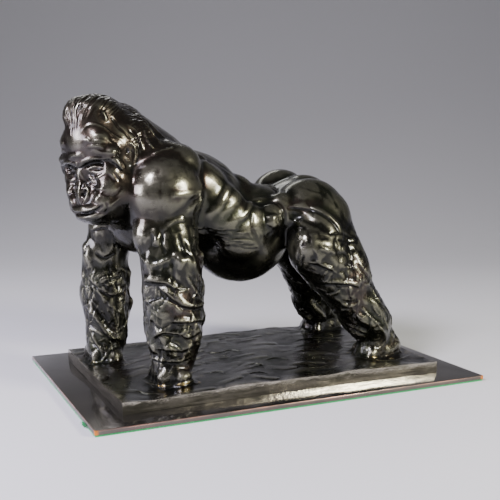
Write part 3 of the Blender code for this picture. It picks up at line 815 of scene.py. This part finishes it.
TRUNK_MARKS = [
    # under the shoulder muscle, and the folds behind it
    (groove, 7.0, 1.5, [(166, 226), (180, 213), (196, 199), (209, 190)]),
    (ridge, 5.0, 1.1, [(168, 196), (184, 194), (198, 194)]),
    (ridge, 4.0, 1.0, [(193, 151), (204, 159), (210, 171)]),
    (groove, 4.2, 0.6, [(208, 158), (224, 168), (240, 180), (252, 188)]),
    (ridge, 7.5, 1.8, [(203, 222), (214, 211), (224, 197), (229, 184)]),
    (groove, 8.4, 1.5, [(216, 226), (228, 217), (240, 207), (249, 192)]),
    (groove, 4.9, 0.9, [(234, 236), (239, 226), (250, 218)]),
    (ridge, 4.4, 1.3, [(238, 222), (248, 211), (252, 199)]),
    # the knob of the hip and the fold round it
    (ridge, 9.4, 2.7, [(271, 214), (272, 221), (269, 227)]),
    (groove, 4.8, 1.6, [(246, 204), (262, 204), (277, 204), (284, 213), (283, 224), (277, 234), (268, 248)]),
    (ridge, 3.8, 1.0, [(249, 201), (262, 199), (276, 200)]),
    (groove, 4.2, 0.9, [(253, 212), (252, 226), (258, 243)]),
    (ridge, 3.2, 0.8, [(264, 236), (272, 228), (281, 222)]),
    # rump
    (groove, 2.8, 0.5, [(268, 183), (279, 190), (291, 194)]),
    (groove, 2.8, 0.6, [(270, 187), (281, 197), (288, 203)]),
    (groove, 2.5, 0.4, [(296, 185), (312, 191), (328, 195)]),
    (groove, 3.4, 0.6, [(318, 184), (330, 194), (339, 210)]),
    (step, 8.1, 1.9, [(284, 206), (300, 207), (318, 211), (334, 222), (343, 236)]),
    (groove, 7.0, 1.5, [(285, 211), (302, 218), (320, 226), (336, 236)]),
    (ridge, 5.0, 1.3, [(286, 221), (300, 222), (314, 232)]),
]
NEAR_ARM_MARKS = [
    (step, 8.4, 2.1, [(142, 281), (154, 282), (166, 283), (177, 289)]),
    (step, 9.8, 2.4, [(156, 285), (168, 294), (178, 303), (192, 307), (205, 305)]),
    (ridge, 3.3, 1.5, [(183, 272), (192, 286), (204, 304)]),
    (ridge, 3.7, 1.6, [(149, 267), (160, 263), (170, 259), (178, 252)]),
    (step, 8.4, 1.8, [(184, 313), (175, 305), (162, 300), (149, 304)]),
    (groove, 3.0, 1.3, [(149, 320), (158, 328), (168, 331)]),
    (step, 7.0, 1.8, [(166, 322), (180, 322), (203, 320)]),
    (step, 7.0, 1.6, [(152, 339), (163, 333), (178, 334), (190, 337), (205, 327)]),
    (step, 7.0, 1.6, [(154, 348), (170, 350), (184, 350), (198, 340)]),
    (step, 5.6, 1.6, [(150, 357), (165, 361), (182, 361), (196, 352)]),
    (ridge, 3.3, 1.4, [(138, 246), (142, 256), (150, 266)]),
    (ridge, 3.7, 1.7, [(186, 238), (190, 252), (196, 268)]),
    (ridge, 4.8, 2.0, [(152, 228), (157, 237), (155, 247)]),
    (groove, 3.2, 1.3, [(163, 229), (162, 243), (166, 256)]),
    (groove, 3.2, 1.4, [(171, 255), (173, 268), (174, 281)]),
    (ridge, 3.3, 1.2, [(166, 226), (176, 220), (186, 219)]),
    (groove, 2.8, 1.1, [(178, 232), (181, 244), (186, 258)]),
]
FAR_ARM_MARKS = [
    (step, 7.0, 1.8, [(84, 233), (94, 229), (104, 226), (112, 232)]),
    (groove, 2.8, 1.1, [(95, 252), (104, 258), (116, 252)]),
    (step, 7.0, 1.8, [(88, 277), (101, 289), (113, 295), (124, 291)]),
    (ridge, 4.0, 1.9, [(97, 286), (102, 296), (107, 304)]),
    (groove, 2.3, 0.7, [(92, 282), (104, 276), (120, 268)]),
    (groove, 2.3, 0.7, [(94, 289), (107, 282), (121, 276)]),
    (step, 7.0, 1.8, [(86, 306), (97, 320), (106, 333), (116, 342)]),
    (step, 5.6, 1.6, [(88, 326), (96, 343), (104, 354)]),
]
HIND_MARKS = [
    (step, 6.3, 1.5, [(308, 262), (320, 265), (334, 271)]),
    (step, 7.0, 1.6, [(320, 283), (336, 283), (350, 284), (361, 288)]),
    (ridge, 3.6, 1.5, [(328, 294), (340, 301), (349, 309)]),
    (groove, 3.0, 1.2, [(338, 300), (350, 303), (360, 299)]),
    (ridge, 3.1, 1.4, [(364, 276), (374, 294), (390, 318)]),
    (step, 7.0, 1.5, [(359, 306), (370, 318), (381, 330), (386, 344)]),
    (ridge, 4.8, 2.0, [(362, 312), (371, 320), (377, 328)]),
    (groove, 3.6, 1.2, [(352, 311), (358, 322), (368, 333)]),
    (step, 6.3, 1.4, [(335, 311), (349, 325), (370, 335)]),
    (ridge, 4.1, 1.7, [(304, 284), (315, 291), (325, 300)]),
    (groove, 3.4, 1.1, [(312, 299), (322, 309), (330, 322)]),
    (groove, 2.6, 0.6, [(328, 233), (342, 234), (357, 238)]),
    (groove, 2.6, 0.6, [(330, 239), (344, 241), (359, 243)]),
    (groove, 2.9, 1.0, [(343, 250), (350, 262), (352, 276)]),
    (ridge, 4.1, 1.2, [(318, 246), (328, 250), (337, 253)]),
    (groove, 2.9, 0.8, [(354, 258), (362, 270), (372, 282)]),
]
GROUND_MARKS = [
    (ridge, 2.4, 1.2, [(142, 380), (152, 385), (170, 386), (186, 383), (196, 378)]),
    (ridge, 2.0, 0.9, [(134, 390), (147, 394), (162, 394)]),
    (ridge, 1.8, 0.9, [(202, 340), (219, 337.5), (236, 338)]),
    (ridge, 1.8, 1.0, [(203, 351), (215, 353), (230, 350), (245, 351.5)]),
    (ridge, 1.6, 0.8, [(183, 370), (193, 366), (201, 361)]),
    (ridge, 1.6, 0.8, [(187, 374), (197, 371), (206, 367)]),
    (ridge, 1.6, 0.8, [(208, 373), (218, 372), (227, 373)]),
    (ridge, 1.7, 0.9, [(244, 366), (254, 364), (263, 365)]),
    (ridge, 1.8, 0.9, [(112, 366), (127, 364.5), (141, 360)]),
    (ridge, 1.7, 0.9, [(264, 360), (277, 357.5), (291, 360)]),
    (ridge, 1.8, 0.9, [(298, 351), (309, 350), (319, 352)]),
    (ridge, 2.2, 1.2, [(352, 356), (372, 360.5), (394, 361), (411, 355)]),
    (ridge, 1.7, 0.8, [(248, 374), (258, 372), (268, 373.5)]),
]
for marks in (GROUND_MARKS, NECK_MARKS, TRUNK_MARKS, NEAR_ARM_MARKS, FAR_ARM_MARKS, HIND_MARKS):
    press(marks)

# %% [markdown]
# ## Belly hair
# The belly carries short level scratches, too many to read one by one. A random draw places them
# within the patch of the photograph where they lie, some cut in and some raised.

# %% Short scratches on the belly
BELLY_LOW, BELLY_HIGH = (200, 228), (250, 248)
for _ in range(46):
    x = draw.uniform(BELLY_LOW[0], BELLY_HIGH[0])
    y = draw.uniform(BELLY_LOW[1], BELLY_HIGH[1])
    slope = draw.normal(0.12, 0.1)
    reach = draw.uniform(5, 11)
    line = [(x - reach, y - slope * reach), (x, y + 0.6), (x + reach, y + slope * reach * 0.4)]
    press([(groove if draw.random() < 0.6 else ridge, 1.3, draw.uniform(0.35, 0.7), line)])
print("relief with the photograph's marks, mm:", skin.relief.min().round(2), skin.relief.max().round(2))

# %% [markdown]
# ## Move and thin the skin
# The strokes now move the points. The bare face is smoothed once more, because its real surface is
# softer than the fur. Thinning then keeps small triangles where the clay is busy and large ones where
# it is calm.

# %% Move the skin by its relief
MOST_TRIANGLES = 188000
TOP_LIMIT = CASTING_HIGH[2]

relief = relaxed(skin.relief, skin.edges, 1, 0.35)
relief = np.where(on_head & ~has_hair, relaxed(relief, skin.edges, 3, 0.5), relief)
sculpted = skin.points + skin.normals * relief[:, None]
bare_face = (on_head & ~has_hair)[:, None]
sculpted = np.where(bare_face, relaxed(sculpted, skin.edges, 2, 0.5), sculpted)
over_top = sculpted[:, 2].max() - TOP_LIMIT
if over_top > 0:
    crest = eased(TOP_LIMIT - 60, TOP_LIMIT, sculpted[:, 2])
    sculpted[:, 2] -= crest * (over_top + 0.1)
write_points(gorilla.data, sculpted)

thin = gorilla.modifiers.new("thin", "DECIMATE")
thin.ratio = MOST_TRIANGLES / (2 * len(gorilla.data.polygons))
apply_modifiers(gorilla)
print("triangles kept:", sum(len(p.vertices) - 2 for p in gorilla.data.polygons))

# %% [markdown]
# ## The block's straight sides
# The real ground has straight sides, as if trimmed with a knife. Four separate cuts could do that, but
# their corners would have to meet. Here one tray-shaped cutter does it: a large box with the block's
# own shape taken out of it, and with a pin in it for each of the four blind screw holes.

# %% Cut the sides and the underside, and bore the holes
SCREWS = [f"plate_screw_{number}" for number in range(1, 5)]
CASTING_UNDER = CASTING_LOW[2]
CUT_HEIGHT = GROUND + 8
SCREW_HOLE = 2.8
SCREW_HOLE_TOP = 14.2


def box_object(name, low, high):
    bm = bmesh.new()
    bmesh.ops.create_cube(bm, size=1.0)
    low, high = Vector(low) * MM, Vector(high) * MM
    bmesh.ops.scale(bm, vec=high - low, verts=bm.verts)
    bmesh.ops.translate(bm, vec=(low + high) / 2, verts=bm.verts)
    return new_object(name, bm)


def block_prism():
    """The block's footprint, its front edge bowed inwards, pulled up from its underside."""
    half = BLOCK_LENGTH / 2
    front = [(half * t, -BLOCK_WIDTH / 2 + BLOCK_BOW * (1 - t * t)) for t in np.linspace(-1, 1, 13)]
    outline = front + [(half, BLOCK_WIDTH / 2), (-half, BLOCK_WIDTH / 2)]
    bm = bmesh.new()
    corners = [bm.verts.new(Vector((BLOCK_MIDDLE[0] + x, BLOCK_MIDDLE[1] + y, CASTING_UNDER)) * MM)
               for x, y in outline]
    face = bm.faces.new(corners)
    top = bmesh.ops.extrude_face_region(bm, geom=[face])["geom"]
    lifted = [part for part in top if isinstance(part, bmesh.types.BMVert)]
    bmesh.ops.translate(bm, vec=(0, 0, 80 * MM), verts=lifted)
    bmesh.ops.recalc_face_normals(bm, faces=bm.faces)
    return new_object("block_prism", bm)


def combine(obj, other, operation, solver="EXACT"):
    cut = obj.modifiers.new(operation.lower(), "BOOLEAN")
    cut.operation = operation
    cut.object = other
    cut.solver = solver
    apply_modifiers(obj)
    bpy.data.objects.remove(other, do_unlink=True)


tray = box_object("tray", (-400, -400, -50), (400, 400, CUT_HEIGHT))
combine(tray, block_prism(), "DIFFERENCE")
for name in SCREWS:
    low, high = node_box(name)
    middle = (low + high) / 2
    pin = bmesh.new()
    bmesh.ops.create_cone(pin, cap_ends=True, segments=24, radius1=SCREW_HOLE * MM, radius2=SCREW_HOLE * MM,
                          depth=SCREW_HOLE_TOP * MM)
    bmesh.ops.translate(pin, vec=Vector((middle[0], middle[1], SCREW_HOLE_TOP / 2)) * MM, verts=pin.verts)
    combine(tray, new_object("pin", pin), "UNION")
combine(gorilla, tray, "DIFFERENCE", "MANIFOLD")
print("after the cut, mm:", [tuple(round(x / MM, 1) for x in c) for c in gorilla.bound_box][::6])

# %% [markdown]
# ## Where the wax is rubbed, and where shade is painted
# Handling polishes the ridges and leaves the hollows dull. The mesh itself says which is which: a point
# that stands above its neighbours' mean is a ridge. That number is stored on the points, for the
# material to read. Undersides, which the material darkens as painted shade, the head, the trimmed
# sides, which are burnished and lightened as a painted reflection, and the line round each foot are
# stored in the same way.

# %% Store ridges, undersides for painted shade, and edges on the points
RIDGE_SCALE = 0.35
FOOT_RADIUS = 27


def store(mesh, name, values):
    layer = mesh.attributes.new(name, "FLOAT", "POINT")
    layer.data.foreach_set("value", np.ascontiguousarray(values, np.float32))


def mark_wear(obj):
    mesh = obj.data
    mesh.shade_smooth()
    mesh.set_sharp_from_angle(angle=math.radians(58))
    edges = read_edges(mesh)
    points = read_points(mesh)
    broad = relaxed(points, edges, 5, 0.6)
    stands_out = np.einsum("ij,ij->i", points - broad, read_normals(mesh))
    stands_out = relaxed(stands_out, edges, 1, 0.4)
    store(mesh, "rubbed", np.clip(0.5 + stands_out / RIDGE_SCALE / 2, 0, 1))
    # painted shade: how far each point faces down, so that the material can darken undersides as if in shade
    facing_down = -relaxed(read_normals(mesh), edges, 4, 0.6)[:, 2]
    store(mesh, "underside", eased(-0.05, 0.6, facing_down))
    store(mesh, "warm_head", 1 - eased(62, 120, np.linalg.norm(points - HEAD, axis=1)))
    belly = (points[:, 0] > -75) & (points[:, 0] < 45) & (points[:, 2] > GROUND + 80)
    above_ground = points[:, 2] - GROUND
    rough = eased(-2, 8, above_ground) * (1 - eased(95, 150, above_ground))
    store(mesh, "rough_clay", rough * ~belly)
    middle_x, middle_y = BLOCK_MIDDLE
    past_end = np.abs(points[:, 0] - middle_x) > BLOCK_LENGTH / 2 - 0.4
    past_front = points[:, 1] < middle_y - BLOCK_WIDTH / 2 + BLOCK_BOW + 0.4
    past_back = points[:, 1] > middle_y + BLOCK_WIDTH / 2 - 0.4
    store(mesh, "trimmed", (past_end | past_front | past_back) & (points[:, 2] < GROUND + 3))
    feet = [NEAR_WRIST, FAR_WRIST, NEAR_FOOT, FAR_FOOT]
    away = [np.hypot(points[:, 0] - f[0], (points[:, 1] - f[1]) * 1.1) for f in feet]
    reach = np.min([np.abs(distance - FOOT_RADIUS) for distance in away], axis=0)
    low = (points[:, 2] < GROUND + 3.5) & (points[:, 2] > GROUND - 4)
    store(mesh, "foot_line", low * (1 - eased(3, 9, reach)))


mark_wear(gorilla)
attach(gorilla, "root")
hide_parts("gorilla_casting")

# %% [markdown]
# ## Bronze
# The patina is nearly black, with olive green in some places and warm brown in others. Under the wax it
# still mirrors sharply, so the shader has two layers: dark metal with a soft gloss, and a clear coat
# with a hard one. Ridges are rubbed a shade lighter, undersides are darkened as painted shade, the head
# is warmer, and the block's sides are burnished and lightened further as a painted reflection. All
# patterns are drawn in the object's own space.

# %% Helpers for node materials


class Nodes:
    """Adds nodes to a material and joins them up."""

    def __init__(self, tree):
        self.tree = tree
        self.place = tree.nodes.new("ShaderNodeTexCoord").outputs["Object"]

    def join(self, value, socket):
        if hasattr(value, "links"):
            self.tree.links.new(value, socket)
        else:
            socket.default_value = value

    def noise(self, scale, detail=4.0, roughness=0.55, stretch=None, distortion=0.0):
        node = self.tree.nodes.new("ShaderNodeTexNoise")
        node.inputs["Scale"].default_value = scale
        node.inputs["Detail"].default_value = detail
        node.inputs["Roughness"].default_value = roughness
        node.inputs["Distortion"].default_value = distortion
        place = self.place
        if stretch:
            mapping = self.tree.nodes.new("ShaderNodeMapping")
            mapping.inputs["Scale"].default_value = stretch
            self.tree.links.new(place, mapping.inputs["Vector"])
            place = mapping.outputs["Vector"]
        self.tree.links.new(place, node.inputs["Vector"])
        return node.outputs["Fac"]

    def attribute(self, name):
        node = self.tree.nodes.new("ShaderNodeAttribute")
        node.attribute_name = name
        return node.outputs["Fac"]

    def spread(self, value, low, high, to_low=0.0, to_high=1.0):
        node = self.tree.nodes.new("ShaderNodeMapRange")
        node.interpolation_type = "SMOOTHSTEP"
        self.join(value, node.inputs["Value"])
        sockets = ("From Min", "From Max", "To Min", "To Max")
        for socket, number in zip(sockets, (low, high, to_low, to_high)):
            node.inputs[socket].default_value = number
        return node.outputs["Result"]

    def maths(self, operation, a, b=0.0):
        node = self.tree.nodes.new("ShaderNodeMath")
        node.operation = operation
        self.join(a, node.inputs[0])
        self.join(b, node.inputs[1])
        return node.outputs["Value"]

    def blend(self, share, a, b):
        node = self.tree.nodes.new("ShaderNodeMix")
        node.data_type = "RGBA"
        self.join(share, node.inputs["Factor"])
        for value, socket in ((a, node.inputs["A"]), (b, node.inputs["B"])):
            self.join((*value, 1.0) if isinstance(value, tuple) else value, socket)
        return node.outputs["Result"]

    def bump(self, height, depth, strength=1.0, under=None):
        node = self.tree.nodes.new("ShaderNodeBump")
        node.inputs["Strength"].default_value = strength
        node.inputs["Distance"].default_value = depth
        self.join(height, node.inputs["Height"])
        if under:
            self.join(under, node.inputs["Normal"])
        return node.outputs["Normal"]


# %% The waxed patina
BLACK_BROWN = (0.012, 0.0115, 0.008)
OLIVE = (0.026, 0.029, 0.015)
WARM_BROWN = (0.036, 0.023, 0.018)
RUBBED = (0.15, 0.145, 0.105)
HOLLOW_AND_SHADE = (0.003, 0.0035, 0.0025)
BURNISHED_AND_SHEEN = (0.38, 0.35, 0.29)
OCHRE = (0.42, 0.30, 0.09)


def patina_material():
    made, tree, shader = make_material("bronze_patina")
    nodes = Nodes(tree)
    rubbed = nodes.attribute("rubbed")
    colour = nodes.blend(nodes.spread(nodes.noise(11, 3), 0.42, 0.62), BLACK_BROWN, OLIVE)
    warm = nodes.spread(nodes.noise(17, 3, distortion=0.5), 0.5, 0.68, 0, 0.8)
    warm = nodes.maths("MAXIMUM", warm, nodes.maths("MULTIPLY", nodes.attribute("warm_head"), 0.75))
    colour = nodes.blend(warm, colour, WARM_BROWN)
    mottle = nodes.spread(nodes.noise(95, 4), 0.35, 0.7, 0.0, 0.35)
    colour = nodes.blend(mottle, colour, BLACK_BROWN)
    colour = nodes.blend(nodes.spread(rubbed, 0.52, 0.95, 0, 0.75), colour, RUBBED)
    colour = nodes.blend(nodes.spread(rubbed, 0.48, 0.1, 0, 0.85), colour, HOLLOW_AND_SHADE)
    # painted shade: points that face down are darkened nearly to black, as if in the shade under the body
    colour = nodes.blend(nodes.maths("MULTIPLY", nodes.attribute("underside"), 0.85), colour, HOLLOW_AND_SHADE)
    trimmed = nodes.attribute("trimmed")
    streaks = nodes.spread(nodes.noise(30, 5, stretch=(1, 1, 9), distortion=0.6), 0.38, 0.62, 0.3, 1.0)
    # the block's trimmed sides: burnished metal, lightened further with streaks as a painted reflection
    colour = nodes.blend(nodes.maths("MULTIPLY", trimmed, streaks), colour, BURNISHED_AND_SHEEN)
    line = nodes.maths("MULTIPLY", nodes.attribute("foot_line"), nodes.spread(rubbed, 0.5, 0.62))
    line = nodes.maths("MULTIPLY", line, nodes.spread(nodes.noise(60, 2), 0.45, 0.6))
    colour = nodes.blend(line, colour, OCHRE)
    nodes.join(colour, shader.inputs["Base Color"])
    gloss = nodes.spread(nodes.noise(42, 4), 0.3, 0.7, 0.2, 0.34)
    gloss = nodes.maths("ADD", gloss, nodes.spread(rubbed, 0.45, 0.1, 0, 0.25))
    gloss = nodes.maths("SUBTRACT", gloss, nodes.maths("MULTIPLY", trimmed, 0.12))
    nodes.join(gloss, shader.inputs["Roughness"])
    shader.inputs["Metallic"].default_value = 0.9
    shader.inputs["Coat Weight"].default_value = 0.45
    shader.inputs["Coat Roughness"].default_value = 0.13
    fine = nodes.bump(nodes.noise(420, 3), 0.00025, 0.35)
    fine = nodes.bump(nodes.noise(130, 3), 0.0007, 0.35, fine)
    pitted = nodes.noise(150, 6, 0.7, (1, 1, 0.6), 1.5)
    crinkle = nodes.maths("MULTIPLY", pitted, nodes.attribute("rough_clay"))
    nodes.join(nodes.bump(crinkle, 0.0014, 0.45, fine), shader.inputs["Normal"])
    return made


gorilla.data.materials.clear()
gorilla.data.materials.append(patina_material())

# %% [markdown]
# ## The plate
# A thin rolled plate with its edges eased by a file. The frame's plate has the true size and holes, so
# this one is the same solid with a small bevel. Its top is polished and its edge is worn to pink copper.

# %% The polished plate
EDGE_EASE = 0.45
POLISHED = (0.10, 0.092, 0.08)
WORN_COPPER = (0.46, 0.27, 0.20)
BARE_ORANGE = (0.75, 0.24, 0.03)


def make_plate():
    bm = welded("base_plate")
    bmesh.ops.dissolve_limit(bm, angle_limit=math.radians(2), verts=bm.verts, edges=bm.edges)
    rim = [e for e in bm.edges if len(e.link_faces) == 2 and e.calc_face_angle() > math.radians(60)
           and max(abs(v.co.x) for v in e.verts) > (PLATE_HIGH[0] - 1) * MM]
    bmesh.ops.bevel(bm, geom=rim, offset=EDGE_EASE * MM, segments=3, profile=0.5, affect="EDGES",
                    clamp_overlap=True)
    plate = new_object("bronze_plate", bm)
    plate.data.shade_smooth()
    plate.data.set_sharp_from_angle(angle=math.radians(50))
    return plate


def plate_material():
    made, tree, shader = make_material("bronze_polished")
    nodes = Nodes(tree)
    split = tree.nodes.new("ShaderNodeSeparateXYZ")
    tree.links.new(nodes.place, split.inputs["Vector"])
    inward = []
    for i in (0, 1):
        from_middle = nodes.maths("ABSOLUTE", split.outputs[i])
        inward.append(nodes.maths("SUBTRACT", PLATE_HIGH[i] * MM, from_middle))
    to_edge = nodes.maths("MINIMUM", *inward)
    on_edge = nodes.spread(to_edge, 0.0011, 0.0002)
    arris = nodes.spread(split.outputs[2], (PLATE_HIGH[2] - 1.7) * MM, (PLATE_HIGH[2] - 0.9) * MM, 0.12, 1.0)
    patchy = nodes.spread(nodes.noise(30, 4), 0.36, 0.6, 0.25, 1.0)
    colour = nodes.blend(nodes.spread(nodes.noise(9, 4), 0.4, 0.65), POLISHED, (0.13, 0.118, 0.10))
    worn = nodes.maths("MULTIPLY", nodes.maths("MULTIPLY", on_edge, patchy), arris)
    colour = nodes.blend(worn, colour, WORN_COPPER)
    corner = nodes.spread(nodes.maths("MAXIMUM", *inward), 0.005, 0.0015)
    front = nodes.spread(split.outputs[1], 0.0, -0.1)
    corner = nodes.maths("MULTIPLY", nodes.maths("MULTIPLY", corner, front), on_edge)
    colour = nodes.blend(corner, colour, BARE_ORANGE)
    nodes.join(colour, shader.inputs["Base Color"])
    shader.inputs["Metallic"].default_value = 0.9
    gloss = nodes.spread(nodes.noise(24, 5), 0.35, 0.7, 0.11, 0.24)
    nodes.join(nodes.maths("ADD", gloss, nodes.maths("MULTIPLY", on_edge, 0.15)), shader.inputs["Roughness"])
    shader.inputs["Coat Weight"].default_value = 0.4
    shader.inputs["Coat Roughness"].default_value = 0.07
    fine = nodes.bump(nodes.noise(60, 2, stretch=(1, 6, 1)), 0.0003, 0.12)
    nodes.join(nodes.bump(nodes.noise(700, 2), 0.00008, 0.2, fine), shader.inputs["Normal"])
    return made


plate = make_plate()
plate.data.materials.clear()
plate.data.materials.append(plate_material())
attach(plate, "root")
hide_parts("base_plate")
print("plate faces:", len(plate.data.polygons))

# %% [markdown]
# ## The baize
# Felted wool, glued under the plate. From the side it is a thin bright green line with a few fibres
# standing out of it, and one tuft has been pulled out at the left edge.

# %% Baize with its fibres
FIBRE_STEP = 0.55
FIBRE_LENGTH = (0.5, 1.3)
FIBRE_THICK = 0.09
FIBRE_SUNK = 0.2
TUFT_FIBRES = 240
TUFT_THICK = 0.2
TUFT_PLACE = (-224.6, -116.0)
BAIZE_GREEN = (0.02, 0.42, 0.13)


def add_fibre(bm, root, tip, thick):
    """One fibre: a thin three-sided spike."""
    away = (tip - root).normalized()
    across = away.orthogonal().normalized() * thick
    ring = [bm.verts.new(root + Matrix.Rotation(2 * math.pi * i / 3, 3, away) @ across) for i in range(3)]
    top = bm.verts.new(tip)
    bm.faces.new(ring[::-1])
    for a, b in zip(ring, ring[1:] + ring[:1]):
        bm.faces.new((a, b, top))


def make_baize():
    bm = welded("baize_liner")
    half_x, half_y = BAIZE_HIGH[0], BAIZE_HIGH[1]
    runs = [((-half_x, -half_y), (half_x, -half_y), (0, -1)), ((half_x, -half_y), (half_x, half_y), (1, 0)),
            ((half_x, half_y), (-half_x, half_y), (0, 1)), ((-half_x, half_y), (-half_x, -half_y), (-1, 0))]
    for start, end, outward in runs:
        start, end = Vector((*start, 0)), Vector((*end, 0))
        for i in range(int((end - start).length / FIBRE_STEP)):
            root = start.lerp(end, draw.random()) + Vector((0, 0, draw.uniform(0.15, BAIZE_HIGH[2] - 0.15)))
            lean = (end - start).normalized() * draw.normal(0, 0.8)
            heading = Vector((*outward, draw.normal(0, 0.25))) + lean
            tip = root + heading.normalized() * draw.uniform(*FIBRE_LENGTH)
            tip.z = max(tip.z, 0.05)
            root -= Vector((*outward, 0)) * FIBRE_SUNK
            add_fibre(bm, root * MM, tip * MM, FIBRE_THICK * MM)
    for _ in range(TUFT_FIBRES):
        root = Vector((TUFT_PLACE[0] + 0.3, TUFT_PLACE[1] + draw.normal(0, 3.2), draw.uniform(0.2, 1.3)))
        tip = root + Vector((-draw.uniform(1.5, 4.5), draw.normal(0, 2.6), draw.uniform(-0.4, 2.2)))
        tip.z = max(tip.z, 0.1)
        add_fibre(bm, root * MM, tip * MM, TUFT_THICK * MM)
    return new_object("green_baize", bm)


def baize_material():
    made, tree, shader = make_material("green_baize")
    nodes = Nodes(tree)
    nap = nodes.noise(900, 3)
    colour = nodes.blend(nodes.spread(nap, 0.3, 0.7), (0.012, 0.26, 0.07), BAIZE_GREEN)
    nodes.join(colour, shader.inputs["Base Color"])
    shader.inputs["Roughness"].default_value = 0.95
    shader.inputs["Sheen Weight"].default_value = 0.6
    shader.inputs["Sheen Roughness"].default_value = 0.4
    nodes.join(nodes.bump(nap, 0.0004, 0.6), shader.inputs["Normal"])
    return made


baize = make_baize()
baize.data.materials.clear()
baize.data.materials.append(baize_material())
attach(baize, "root")
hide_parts("baize_liner")
print("baize faces:", len(baize.data.polygons))

# %% [markdown]
# ## The screws
# They sit under the baize, so nobody sees them until the plate comes off. They keep the frame's shape
# and get a zinc finish: fine turning marks and a few dull patches.

# %% Zinc on the screws


def zinc_material():
    made, tree, shader = make_material("screw_steel")
    nodes = Nodes(tree)
    dull = nodes.spread(nodes.noise(600, 3), 0.4, 0.65)
    nodes.join(nodes.blend(dull, (0.52, 0.52, 0.50), (0.33, 0.33, 0.31)), shader.inputs["Base Color"])
    nodes.join(nodes.spread(dull, 0, 1, 0.25, 0.5), shader.inputs["Roughness"])
    shader.inputs["Metallic"].default_value = 1.0
    nodes.join(nodes.bump(nodes.noise(900, 2, stretch=(1, 1, 8)), 0.0001, 0.3), shader.inputs["Normal"])
    return made


zinc = zinc_material()
for name in SCREWS:
    slots = NODES[name].data.materials
    slots.clear()
    slots.append(zinc)
print("screws finished:", len(SCREWS))
